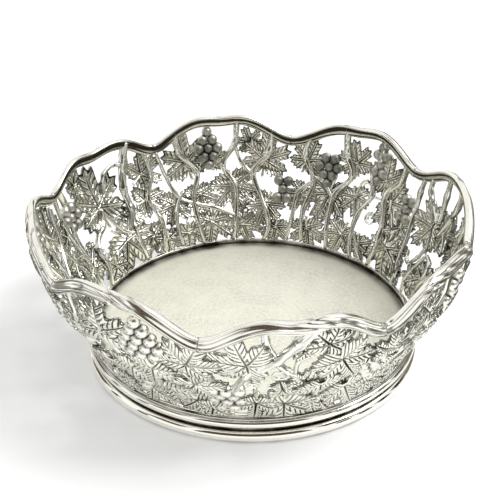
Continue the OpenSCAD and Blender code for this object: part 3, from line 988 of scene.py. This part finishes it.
# Degrees past the valley, height, reach of its middle lobe, and turn of its tip clockwise from
# straight up, seen from outside
LEAVES = [
    [[10.5, 44, 10.5, 5], [6.5, 37, 12, -85], [5.5, 33.5, 8.5, 190], [-1, 22, 13, 185],
     [22.5, 47, 9.5, 20], [30, 33, 13, 165], [39, 44, 9.5, -20], [21, 19.5, 10, 160],
     [35.5, 18, 9.5, 190], [20, 34, 8.5, 200], [12.5, 18, 8, 190], [39.5, 31, 8.5, 150]],
    [[8, 43, 12.5, -10], [19, 33, 12.5, 195], [34, 44, 13, 10], [7, 26, 10, 160],
     [28, 20, 10.5, 170], [41, 29, 9.5, 160], [16, 18, 9, 200], [38, 17, 9, 180],
     [26, 44, 8, -20], [31, 31, 9, 185], [3, 17, 8, 170], [13, 50, 7, 20]],
    [[24.5, 38.5, 16.5, 2], [5, 43.5, 10, -60], [6, 33.5, 9, -80], [20, 23, 14, 217],
     [44.5, 22, 12.5, 10], [8, 20, 9.5, 200], [29.5, 16.5, 8.5, 150], [38.5, 26, 8, 200],
     [14, 30, 8, 160], [44.5, 37, 8, 40], [2, 17, 8, 180], [31, 51, 6.5, 30]],
    [[8.5, 43, 12.5, -20], [17.5, 33, 12.5, 190], [30.5, 45, 13, 5], [10.5, 19, 10, 165],
     [37.5, 29, 11.5, 170], [25, 20, 11, 195], [4, 30, 9, 200], [40.5, 43, 9.5, 25],
     [21, 45, 8, -15], [35.5, 17, 9, 180], [28, 33, 8.5, 150], [16.5, 16, 7.5, 200]],
    [[18, 46, 13.5, 5], [41.5, 42, 12.5, 25], [31.5, 36, 10.5, 190], [8, 38, 11.5, -50],
     [14, 26, 11.5, 190], [33, 24.5, 11.5, 170], [5, 22, 10, 200], [42, 30, 11, 150],
     [23.5, 31, 10, 200], [24.5, 18, 9.5, 185], [41, 18, 10, 165], [13.5, 16.5, 8, 170]],
    [[11, 43.5, 14, -80], [30, 51, 9.5, 20], [34, 43, 12.5, 150], [24.3, 49, 5.5, -30],
     [22, 17.5, 12.5, 180], [31, 29, 11.5, 170], [41.5, 34, 10.5, 165], [13.5, 19, 8.5, 185],
     [40.5, 22, 11, 160], [30, 20, 9.5, 170], [33.5, 16.5, 8.5, 150], [0.5, 15.5, 7.5, 190],
     [26, 33, 7, 10], [20.5, 28.5, 8, 95]],
    [[15, 48, 13.5, 15], [9, 30, 11, 170], [26.5, 37, 13.5, 170], [38.5, 45, 10.5, 10],
     [18.5, 22, 11, 200], [38, 27, 12.5, 160], [29, 20, 10.5, 190], [5, 18, 9, 180],
     [3, 40, 8.5, 5], [19.5, 35, 8.5, -60], [36.5, 16, 8.5, 170], [12, 16, 7.5, 195]],
    [[30, 38.5, 12.5, 95], [24, 18, 9, -30], [11, 37, 12.5, -25], [18.5, 24, 11.5, 190],
     [6.5, 22, 10.5, 165], [13, 49, 8.5, -30], [2.5, 43, 9, 10], [12, 16, 8, 190],
     [43.5, 31, 9, 185], [38.5, 23, 8.5, 190], [21, 42, 8, 40], [37.5, 16, 7.5, 170],
     [22.5, 40, 9.5, -75]],
]
# Radius at its start and at its end, and then degrees past the valley and height of each place
STEMS = [
    [[1.5, 1.1, 4, 54, 5, 46, 9, 38, 4, 23, 6, 10],
     [1.3, 0.95, 13, 62, 14, 52, 16, 45, 14, 36, 17, 27, 15, 10],
     [1.5, 1.05, 27, 61, 26, 50, 23, 41, 28, 31, 26, 10],
     [1.3, 0.95, 38, 56, 40, 46, 36, 36, 38, 24, 37, 10], [0.95, 0.8, 8, 10, 12, 16, 15.5, 22],
     [0.95, 0.8, 28, 31, 33, 37, 36.5, 38], [0.95, 0.8, 36, 36, 41, 31, 42, 20, 44, 10]],
    [[1.5, 1.1, 6, 56, 7, 46, 12, 37, 6, 20, 8, 10],
     [1.4, 1.05, 17, 61, 18, 50, 22, 41, 18, 31, 20, 10],
     [1.5, 1.05, 37, 58, 36, 48, 31, 39, 34, 28, 32, 10], [0.95, 0.8, 12, 37, 16, 42, 18, 50],
     [0.95, 0.8, 34, 28, 40, 33, 44, 51], [0.95, 0.8, 19, 22, 26, 25, 34, 28],
     [0.95, 0.8, 37, 33, 42, 24, 41, 10]],
    [[1.9, 1.2, 9, 59, 11, 50, 13, 40, 13, 32, 15, 24, 13, 10],
     [1, 0.85, 11.2, 50, 15, 51.2, 19, 49, 20.5, 42],
     [1.4, 1.1, 40, 54, 38.5, 46, 41, 37, 42, 26],
     [1.05, 1.1, 24.5, 37, 27, 31.5, 31, 29.5, 34.5, 26, 34.5, 20, 36, 10],
     [1, 0.9, 3, 52, 2, 42, 5, 33, 3, 24, 5, 10], [0.95, 0.8, 15, 24, 20, 27, 24.5, 37],
     [1, 0.9, 42, 10, 43, 33, 43, 53]],
    [[1.3, 1.05, 13.5, 60, 14.5, 50, 13, 40, 14.5, 28, 13, 10],
     [1, 0.9, 2, 52, 4, 42, 8.5, 34, 14.5, 28], [1.5, 1.05, 27, 60, 27, 50, 19, 33, 24, 10],
     [1.4, 1.05, 39, 56, 38, 46, 33, 38, 36, 28, 36, 10], [0.95, 0.8, 6, 38, 3, 22, 6, 10],
     [0.95, 0.8, 36, 29, 42, 24, 43, 10], [0.95, 0.8, 20, 30, 27, 33, 33, 38]],
    [[1.4, 1.05, 8, 57, 8.5, 47, 6, 38, 9, 28, 7, 10],
     [1.3, 0.95, 19, 62, 20, 52, 17, 43, 21, 34, 18, 10],
     [1.4, 1.05, 39, 55, 38, 46, 30, 30, 34, 21, 31, 10], [0.95, 0.8, 21, 34, 26, 38, 34, 38],
     [0.95, 0.8, 30.5, 60, 30, 50, 30.5, 38], [0.95, 0.8, 34, 21, 40, 26, 43, 34],
     [0.95, 0.8, 43, 34, 44, 22, 42, 10]],
    [[1.3, 1.05, 15, 60, 15.4, 54, 17, 48, 18, 45],
     [1.9, 1.2, 27, 58, 23, 52, 18, 45, 14, 41, 10.5, 36, 7, 24, 5.5, 10],
     [1.3, 1.05, 18.5, 43, 21, 38.5, 24, 34, 23, 24, 19, 10],
     [0.95, 0.8, 13, 30, 13.3, 18, 11.5, 10],
     [1.5, 1.05, 38.5, 55, 37.5, 46, 31, 36, 27, 27, 28, 10], [1, 0.85, 3, 52, 4, 44, 8, 38],
     [0.95, 0.8, 31, 36, 36, 27, 39, 10], [0.85, 0.7, 23, 38, 23.3, 43.5, 26, 45.5]],
    [[1.5, 1.1, 7, 54, 8, 45, 5, 36, 8, 27, 6, 10],
     [1.4, 1.05, 22, 61, 21, 52, 17, 44, 22, 35, 20, 10],
     [1.4, 1.05, 34, 60, 33, 50, 36, 41, 31, 32, 32, 10], [0.95, 0.8, 8, 27, 13, 32, 22, 35],
     [0.95, 0.8, 31, 32, 38, 28, 41, 10], [0.95, 0.8, 36, 41, 41, 45, 43, 53],
     [0.95, 0.8, 12, 57, 11, 48, 8, 44]],
    [[1.2, 0.95, 20.5, 62, 20.5, 53, 25, 38], [1.2, 0.95, 28.3, 62, 28.6, 52, 27.5, 42],
     [1.1, 0.9, 36.5, 56, 36.5, 49, 28.5, 41],
     [1.1, 0.8, 40.3, 53, 41, 46, 39, 33, 34.5, 18, 36, 10],
     [1.4, 1.05, 9, 56, 10, 46, 7, 37, 16, 23, 14, 10], [0.95, 0.8, 24, 30, 27, 18, 27, 10],
     [0.95, 0.8, 2, 52, 3, 30, 4, 10], [0.95, 0.8, 16, 23, 20, 29, 24, 30],
     [0.9, 0.75, 27, 31, 27.5, 27, 29.5, 23.5, 32, 24, 33.5, 26.5]],
]
# Degrees past the valley, height and radius
CURLS = [
    [[11.5, 28.5, 2.6], [17, 38.5, 3.4]],
    [[13.5, 26, 2.6]],
    [[32.5, 22, 2.4]],
    [[14, 26, 2.4]],
    [[37, 37, 2.4]],
    [[12.5, 31.5, 2.2], [19.5, 37.5, 3.8]],
    [[14.5, 37.5, 2.4]],
    [],
]
# Degrees past the valley, height of its top row, and grapes in each row
BUNCHES = [
    [[14, 57, [1, 2, 1, 2, 1]], [31.5, 46.5, [2, 3, 2, 1]]],
    [[26.5, 56, [1, 2, 3, 2, 1]], [1.5, 35, [2, 1, 2]]],
    [[38, 45, [2, 3, 2]]],
    [[20.5, 56, [1, 2, 3, 2]], [44.2, 44, [2, 3, 2]]],
    [[30, 56.5, [1, 2, 3, 4, 3]], [23, 21.5, [2, 1]]],
    [[5, 26, [3, 2, 3, 2]]],
    [[1, 33, [3, 2, 1]], [28, 54.5, [1, 2, 1, 2]]],
    [[44.2, 41, [2, 1, 2]]],
]


@dataclass(frozen=True)
class Vine:
    """Stems, tendrils, leaves and grapes of the gallery, one set per lobe."""

    rim: Rim = Rim()
    leaf_t: float = 1.1
    leaf_back: float = -0.6
    leaf_dome: float = 0.9
    leaf_step: float = 0.35
    numbers_per_lobe: int = 12
    leaf_columns: int = 120
    rows_per_mm: float = 2.2
    tooth_deg: float = 15.0
    tooth_share: float = 0.17
    vein_share: float = 0.16
    vein_pitch: float = 1.15
    vein_depth: float = 0.3
    rib_depth: float = 0.42
    stalk_share: float = 0.62
    stalk_lift: float = 0.3
    stalk_r: tuple[float, float] = (0.5, 0.75)
    stalk_rows: int = 9
    knuckle: float = 0.28
    # How far under the rim's middle line a leaf ends, and how softly
    tuck: float = 1.3
    tuck_ease: float = 0.5
    grape_r: float = 2.35
    grape_pitch: float = 1.82
    # How far out a grape in the middle of its row lies, and how much nearer the wall the next one
    grape_out: float = 0.6
    grape_step: float = 0.5
    grape_rows: int = 18
    grape_columns: int = 28
    curl_r: float = 0.62
    curl_turn_deg: float = 480.0
    curl_close: float = 0.45
    curl_lift: float = 0.9
    curl_taper: float = 0.35
    curl_steps: int = 44
    stem_steps: int = 10
    stem_sides: int = 16
    stem_grooves: int = 4
    thin_sides: int = 10

    @staticmethod
    def leaf_reach(deg: Array) -> Array:
        """Reach of a leaf's edge.

        Args:
            deg: Angle from its tip.

        Returns:
            The share of its middle lobe's reach: humps for five lobes less humps for the cuts
            between them, and a notch at the stalk.
        """
        a = np.abs(deg)
        lobes = 0.6 + 0.4 * bump(a, 0, 34) + 0.3 * bump(a, 58, 26) + 0.2 * bump(a, 108, 26)
        cuts = 0.34 * bump(a, 30, 8) + 0.28 * bump(a, 84, 8)
        return (lobes - cuts) * (1 - 0.6 * bump(a, 180, 16))

    def leaf(self, skin: Skin, spot: list[float], lift: float, number: int) -> None:
        """One leaf: a polar grid over its front, round its edge and back over its back.

        Its front is a dome that sinks at the stalk, grooved along five ribs and along the side
        veins that leave them at a slant; on its back the same ribs stand up, with grooves between.
        A tip that reaches the rim tucks in under it: top - ease * log(1 + exp((top - z) / ease)).

        Args:
            skin: The skin that takes it.
            spot: Angle, height, reach of its middle lobe, and turn of its tip.
            lift: Extra distance off the wall.
            number: Its number, which varies its tilt and the pitch of its veins.
        """
        deg, z, size, turn = spot
        rows = int(np.clip(size * self.rows_per_mm, 12, 36))
        vary = np.sin(number * np.array([2.4, 3.9, 5.3]))
        a = np.linspace(-180, 180, self.leaf_columns, endpoint=False)[None, :]
        q = np.linspace(0.03, 1, rows)[:, None]
        saw = np.abs(((a / self.tooth_deg) % 1) * 2 - 1)
        reach = size * self.leaf_reach(a) * (0.92 + self.tooth_share * saw) * q

        ribs = np.array([0, 60, -60, 108, -108])
        swing = np.radians(a - ribs[np.abs(a - ribs[:, None]).argmin(0)][None, :])
        along, side = reach * np.cos(swing), np.abs(reach * np.sin(swing))
        pitch = max(size * self.vein_share, self.vein_pitch) * (1 + 0.15 * vary[0])
        phase = (along - (0.8 + 0.15 * vary[1]) * side - 0.05 * side**2) / pitch
        wave, fade = 0.5 * np.cos(2 * np.pi * phase), ramp(1.02 - q, 0.12)
        side_vein = (0.5 + wave) ** 5 * ramp(side, 0.6) * fade
        between = (0.5 - wave) ** 5 * ramp(side - 0.5, 0.6) * fade
        rib = bump(side, 0, 0.35) * ramp(q, 0.2)

        swell = 0.6 * ramp(side, size * 0.25) * (1 - q**2)
        curl = (0.4 + 0.5 * np.cos(np.radians(3 * a))) * q**2
        dome = (self.leaf_dome - 0.2) * (4 * q * (1 - q)) ** 0.8 + 0.2 * (1 - q)
        way = np.radians(a)
        tilt = (0.07 * vary[1] * np.sin(way) + 0.06 * vary[2] * np.cos(way)) * reach
        base = self.leaf_back + lift + curl + tilt
        front = base + self.leaf_t + dome + swell
        front = front - self.vein_depth * side_vein - self.rib_depth * rib
        back = base + 0.7 * dome + 1.5 * swell + 0.12 * between - 0.35 * rib
        brim = [front[-1:] * share + back[-1:] * (1 - share) for share in (0.75, 0.25)]

        outs = np.vstack([front, *brim, back[::-1]])
        full = np.vstack([reach, reach[-1:] + 0.1, reach[-1:] + 0.1, reach[::-1]])
        angle = np.radians(a + turn)
        degs, heights = WALL.beside(deg, z, full * np.sin(angle), full * np.cos(angle))
        top = self.rim.height(degs) - self.tuck
        outs = outs * (1 - 0.55 * ramp(heights - top + 2.2, 2.2))
        heights = top - self.tuck_ease * np.logaddexp(0, (top - heights) / self.tuck_ease)

        masks = ((phase, phase + 0.5), (side, np.abs(side - 0.5)))
        wrap = [np.vstack([v, v[-1:], w[-1:], w[::-1]]) for v, w in masks]
        # Painted shade: dark along the front edge, half dark round the brim, and on the back a
        # little darker all over and dark near the edge
        edge_dark = 0.75 * ramp(q - 0.94, 0.04) + 0 * a
        back_dark = np.maximum(0.1, 0.95 * ramp(q[::-1] - 0.9, 0.05)) + 0 * a
        leaf_edge_shade = np.vstack([edge_dark, 0.5 + 0 * a, 0.5 + 0 * a, back_dark])
        # Leaves darker towards the bottom, below a height of 26
        lower_darkening = 0.2 * ramp(26 - heights, 12)
        grid = WALL.place(degs, heights, outs)
        skin.add(grid, phase=wrap[0], side=wrap[1], cavity=np.maximum(leaf_edge_shade, lower_darkening))

    @staticmethod
    def tube(skin: Skin, line: Array, radius: Array, sides: int, grooves: int = 0) -> None:
        """A tube along a line on the wall, with grooves that wind along it like bark.

        Args:
            skin: The skin that takes it.
            line: Rows of degrees, height and distance out.
            radius: Radius at each row.
            sides: Columns round it.
            grooves: Grooves round it, or 0; each is cos(grooves * angle + run).
        """
        run = run_along(line)[:, None]
        a = np.linspace(0, 2 * np.pi, sides, endpoint=False)[None, :]
        bark = np.cos(grooves * a + run * 0.35) if grooves else np.ones((1, 1))
        r = radius[:, None] * (1 + (0.1 * bark if grooves else 0))
        sunk = 0.8 * np.clip(-bark - 0.3, 0, 1) + 0 * r * a
        skin.add(sweep(line, np.stack([r * np.cos(a), r * np.sin(a)], -1)), cavity=sunk)

    def stalk(self, skin: Skin, spot: list[float]) -> None:
        """The short stalk from a leaf's notch back to the stem behind it.

        Args:
            skin: The skin that takes it.
            spot: The leaf's angle, height, reach and turn.
        """
        deg, z, size, turn = spot
        t = np.linspace(0.05, self.stalk_share, self.stalk_rows)
        back = np.radians(turn)
        degs, heights = WALL.beside(deg, z, -t * size * np.sin(back), -t * size * np.cos(back))
        front = self.leaf_back + self.leaf_t + self.stalk_lift
        outs = front * (1 - t / self.stalk_share) ** 1.2
        line = np.stack([degs, heights, outs], -1)
        self.tube(skin, line, np.linspace(*self.stalk_r, self.stalk_rows), self.thin_sides)

    def leaf_set(self, k: int) -> Object:
        """All the leaves of a lobe, each third one lying higher than its neighbours.

        Args:
            k: The lobe, from 0.

        Returns:
            The piece.
        """
        skin = Skin()
        start = FIRST_VALLEY_DEG + LOBE_DEG * k
        for i, (deg, *rest) in enumerate(LEAVES[k]):
            number = self.numbers_per_lobe * k + i
            self.leaf(skin, [start + deg, *rest], self.leaf_step * (i % 3), number)
        return skin.piece(f"leaf_spray_{k + 1}")

    def stem_set(self, k: int) -> Object:
        """All the stems, stalks and curls of a lobe.

        Args:
            k: The lobe, from 0.

        Returns:
            The piece. A stem thickens in a hump at each place that it goes through; a curl is
            radius (1 - curl_close t) at an angle that grows with t.
        """
        skin = Skin()
        start = FIRST_VALLEY_DEG + LOBE_DEG * k
        for r0, r1, *places in STEMS[k]:
            places = np.reshape(places, (-1, 2)) + [start, 0]
            line = smooth_line(np.pad(places, ((0, 0), (0, 1))), self.stem_steps)
            line = line[line[:, 1] > SILL_TOP - 0.5]
            t = np.linspace(0, 1, len(line))
            last = len(places) - 1
            knots = sum(bump(t * last, i, 0.16) for i in range(1, last))
            radius = (r0 + (r1 - r0) * t) * (1 + self.knuckle * np.clip(knots, 0, 1))
            self.tube(skin, line, radius, self.stem_sides, self.stem_grooves)
        for deg, *rest in LEAVES[k]:
            self.stalk(skin, [start + deg, *rest])
        t = np.linspace(0, 1, self.curl_steps)
        angle = t * np.radians(self.curl_turn_deg)
        for deg, z, r in CURLS[k]:
            reach = r * (1 - self.curl_close * t)
            across, up = reach * np.sin(angle), reach * np.cos(angle)
            line = np.stack([*WALL.beside(start + deg, z, across, up), self.curl_lift * t], -1)
            self.tube(skin, line, self.curl_r * (1 - self.curl_taper * t), self.thin_sides)
        return skin.piece(f"vine_stem_{k + 1}")

    def grape_set(self, k: int) -> Object:
        """All the grapes of a lobe: spheres with a dimple.

        Args:
            k: The lobe, from 0.

        Returns:
            The piece, with painted shade where grapes touch and on the side that faces inwards. Its
            radius is grape_r (1 - 0.09 exp(-(polar / 13 deg)^2)).
        """
        start = FIRST_VALLEY_DEG + LOBE_DEG * k
        pitch = self.grape_pitch * self.grape_r
        spots, outs = [], []
        for deg, z, rows in BUNCHES[k]:
            for row, number in enumerate(rows):
                across = (np.arange(number) - (number - 1) / 2) * pitch
                up = np.full(number, -row * pitch * np.sin(np.pi / 3))
                d, h = WALL.beside(start + deg, z, across, up)
                away = self.grape_out - np.abs(across) / pitch * self.grape_step
                spots.append(WALL.place(d, h, away))
                outs.append(WALL.outward(d, h))
        centres, outs = np.vstack(spots), np.vstack(outs)
        polar = np.linspace(np.radians(4), np.pi - np.radians(8), self.grape_rows)[:, None]
        polar_deg = np.degrees(polar)
        turn = np.linspace(0, 2 * np.pi, self.grape_columns, endpoint=False)[None, :]
        radius = self.grape_r * (1 - 0.09 * bump(polar_deg, 0, 13))
        # Painted shade on the side of each grape that faces inwards
        inward_shade = 0.7 * ramp(polar_deg - 90, 50)
        skin = Skin()
        for centre, out in zip(centres, outs):
            side = unit(np.cross(out, [0, 0, 1.0]))
            ring = side * np.cos(turn)[..., None] + np.cross(side, out) * np.sin(turn)[..., None]
            way = out * np.cos(polar)[..., None] + ring * np.sin(polar)[..., None]
            grid = centre + radius[..., None] * way
            gap = np.linalg.norm(grid[:, :, None] - centres, axis=-1)
            gap = np.sort(gap, -1)[..., 1] - self.grape_r
            # Painted shade where grapes touch, and a dark dot in the dimple
            sunk = np.clip(bump(gap, 0, 0.7) * (gap > -0.5) + 0.85 * bump(polar_deg, 0, 8), 0, 1)
            skin.add(grid, cavity=np.maximum(sunk, inward_shade))
        return skin.piece(f"grape_bunch_{k + 1}")

    def build(self, wardrobe: Wardrobe) -> None:
        """Builds the vine of each lobe.

        Args:
            wardrobe: What dresses it.
        """
        for k in range(LOBES):
            wardrobe.dress(self.stem_set(k), Finish.STEM, f"vine_stems_{k + 1}")
            wardrobe.dress(self.leaf_set(k), Finish.LEAF, f"vine_leaves_{k + 1}")
            wardrobe.dress(self.grape_set(k), Finish.GRAPE, f"grapes_{k + 1}")


# Studio


@dataclass(frozen=True)
class Studio:
    """Pale floor, soft light, dark cards for the silver to mirror, and the camera."""

    focal_px: float = 1080.0
    frame_px: float = 500.0
    sensor_mm: float = 36.0
    tilt_deg: float = 29.70
    roll_deg: float = -0.18
    distance: float = 432.6
    shift_right: float = -0.94
    shift_up: float = 35.64
    brown: Colour = (0.11, 0.075, 0.048)
    dark: Colour = (0.02, 0.026, 0.021)
    # Upright cards: azimuth, half width, lower and upper elevation, in degrees
    brown_cards: tuple = (
        (-90, 36, 17, 58), (-150, 14, 26, 50), (-30, 14, 26, 50), (154, 11, 7, 32), (26, 11, 7, 32),
    )
    dark_cards: tuple = (
        (176, 3, 2, 24), (200, 4, 1, 20), (-34, 5, 1, 18), (-18, 5, 1, 22),
        (-2, 5, 2, 26), (14, 5, 4, 28),
    )
    # Flat cards: name, middle, half width and half height as vectors in metres, and colour
    flat_cards: tuple = (
        ("table_right_card", (0.19, 0.06, 0.001), (0.1, 0, 0), (0, 0.16, 0), (0.12, 0.12, 0.1)),
        ("table_left_card", (-0.2, 0.04, 0.001), (0.1, 0, 0), (0, 0.16, 0), (0.25, 0.25, 0.22)),
        ("far_right_card", (0.68, 0.64, 0.3), (0.25, -0.27, 0), (0, 0, 0.28), (0.26, 0.24, 0.18)),
        ("back_card", (0.25, 1.0, 0.5), (0.3, 0, 0), (0, -0.03, 0.1), dark),
        ("top_card", (0, 0.1, 1.1), (0.16, 0, 0), (0, 0.12, 0), (0.09, 0.06, 0.04)),
    )
    table_half: float = 6.0
    table_colour: Colour = (0.9, 0.9, 0.9)
    # From and to which distance the floor's lift grows, and its strength there
    table_lift: tuple = (0.6, 4.0, 0.26, 0.6)
    lamp_spot: Place = (4.2, 0.45, 6.0)
    lamp_aim: Place = (0, 0, 0.03)
    lamp_size: float = 3.6
    lamp_watts: float = 324.0
    air_strength: float = 0.62

    @staticmethod
    def turn(obj: Object, spot: Array, right: Array, up: Array, back: Array) -> None:
        """Puts an object at a spot, with its own axes along the given ones."""
        axes = Matrix([[right[i], up[i], back[i]] for i in range(3)])
        obj.matrix_world = Matrix.Translation(spot) @ axes.to_4x4()

    @staticmethod
    def seen(g: Graph) -> Socket:
        """Adds nodes that tell which rays see a thing as it is.

        Args:
            g: The graph that takes them.

        Returns:
            1 for rays from the camera, from reflections and through glass, 0 for the rest.
        """
        path = g.node("ShaderNodeLightPath").outputs
        direct = g.math("MAXIMUM", path["Is Camera Ray"], path["Is Glossy Ray"])
        return g.math("MAXIMUM", direct, path["Is Transmission Ray"])

    def camera(self) -> None:
        """Puts the camera where the picture was taken from."""
        tilt, roll = np.radians(self.tilt_deg), np.radians(self.roll_deg)
        forward = np.array([0, np.cos(tilt), -np.sin(tilt)])
        level, above = np.array([1.0, 0, 0]), np.array([0, np.sin(tilt), np.cos(tilt)])
        right = level * np.cos(roll) + above * np.sin(roll)
        up = above * np.cos(roll) - level * np.sin(roll)
        spot = -self.distance * forward + self.shift_right * right + self.shift_up * up
        data = bpy.data.cameras.new("viewpoint")
        data.sensor_fit = "HORIZONTAL"
        data.sensor_width = self.sensor_mm
        data.lens = self.focal_px / self.frame_px * data.sensor_width
        data.clip_start = 0.01
        bpy.context.scene.camera = new_object("viewpoint", data)
        self.turn(bpy.context.scene.camera, spot * MM + MIDDLE, right, up, -forward)

    def lamp(self) -> None:
        """A soft square lamp that looks at the coaster."""
        data = bpy.data.lights.new("key_lamp", "AREA")
        data.size, data.energy = self.lamp_size, self.lamp_watts
        spot = np.array(self.lamp_spot)
        back = unit(spot - np.array(self.lamp_aim))
        right = unit(np.cross([0, 0, 1.0], back))
        self.turn(new_object("key_lamp", data), spot, right, np.cross(back, right), back)

    @staticmethod
    def sheet(
        name: str, centre: Place, right: Place, up: Place, colour: Colour, seen: bool = False
    ) -> Object:
        """A flat card or floor.

        Args:
            name: Its name.
            centre: Its middle, in metres.
            right: Half its width as a vector.
            up: Half its height as a vector.
            colour: Its colour.
            seen: Whether it shows; otherwise only reflections have it.

        Returns:
            The object.
        """
        c, r, u = (np.array(v, float) for v in (centre, right, up))
        mesh = bpy.data.meshes.new(name)
        corners = [tuple(c + i * r + j * u) for i, j in ((-1, -1), (1, -1), (1, 1), (-1, 1))]
        mesh.from_pydata(corners, [], [(0, 1, 2, 3)])
        obj = new_object(name, mesh)
        obj.visible_camera = obj.visible_diffuse = obj.visible_shadow = seen
        mat, g, shader = new_material(name)
        g.feed(shader["Base Color"], colour)
        g.feed(shader["Roughness"], 1.0)
        g.feed(shader["Specular IOR Level"], 0.0)
        mesh.materials.append(mat)
        return obj

    def card(
        self, name: str, azimuth: float, half: float, low: float, high: float, colour: Colour
    ) -> None:
        """An upright card a metre away, given by the angles at which the coaster sees it.

        Args:
            name: Its name.
            azimuth: Direction of its middle, in degrees.
            half: Half its width, in degrees.
            low: Elevation of its lower edge.
            high: Elevation of its upper edge.
            colour: Its colour.
        """
        a, bottom, top = np.radians(azimuth), np.tan(np.radians(low)), np.tan(np.radians(high))
        wide = np.tan(np.radians(half))
        centre = (np.cos(a), np.sin(a), (bottom + top) / 2)
        right, up = (-wide * np.sin(a), wide * np.cos(a), 0), (0, 0, (top - bottom) / 2)
        self.sheet(name, centre, right, up, colour)

    def table(self) -> None:
        """Pale floor that keeps the shadow, lifted to white for the camera and for reflections."""
        middle, half = (0, 0, float(MIDDLE[2])), self.table_half
        ground = self.sheet(
            "table_top", middle, (half, 0, 0), (0, half, 0), self.table_colour, seen=True
        )
        tree = ground.data.materials[0].node_tree
        g = Graph(tree)
        place = g.node("ShaderNodeTexCoord").outputs["Object"]
        reach = g.length(place)
        shader = tree.nodes["Principled BSDF"].inputs
        g.feed(shader["Emission Color"], (1.0, 1.0, 1.0))
        lift = g.math("MULTIPLY", self.seen(g), g.spread(reach, *self.table_lift))
        g.feed(shader["Emission Strength"], lift)

    def air(self) -> None:
        """White for the camera and for reflections, soft light for the rest."""
        world = bpy.data.worlds.new("studio_air")
        bpy.context.scene.world = world
        world.use_nodes = True
        g = Graph(world.node_tree)
        back = world.node_tree.nodes["Background"].inputs
        g.feed(back["Color"], (1.0, 1.0, 1.0))
        g.feed(back["Strength"], g.spread(self.seen(g), 0.0, 1.0, self.air_strength, 1.0))

    def build(self) -> None:
        """Builds the whole studio."""
        self.camera()
        self.table()
        self.air()
        self.lamp()
        uprights = ("brown", self.brown_cards, self.brown), ("dark", self.dark_cards, self.dark)
        for kind, cards, colour in uprights:
            for i, angles in enumerate(cards):
                self.card(f"{kind}_card_{i + 1}", *angles, colour)
        for card in self.flat_cards:
            self.sheet(*card)


def main() -> None:
    """Builds the coaster and its studio."""
    logging.basicConfig(level=logging.INFO, format="%(message)s")
    LOG.info("%d nodes in the frame", len(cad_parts))
    scene = bpy.context.scene
    scene.view_settings.view_transform = "Standard"
    Studio().build()
    wardrobe = Wardrobe()
    Base().build(wardrobe)
    Rim().build(wardrobe)
    Vine().build(wardrobe)


if __name__ == "__main__":
    main()
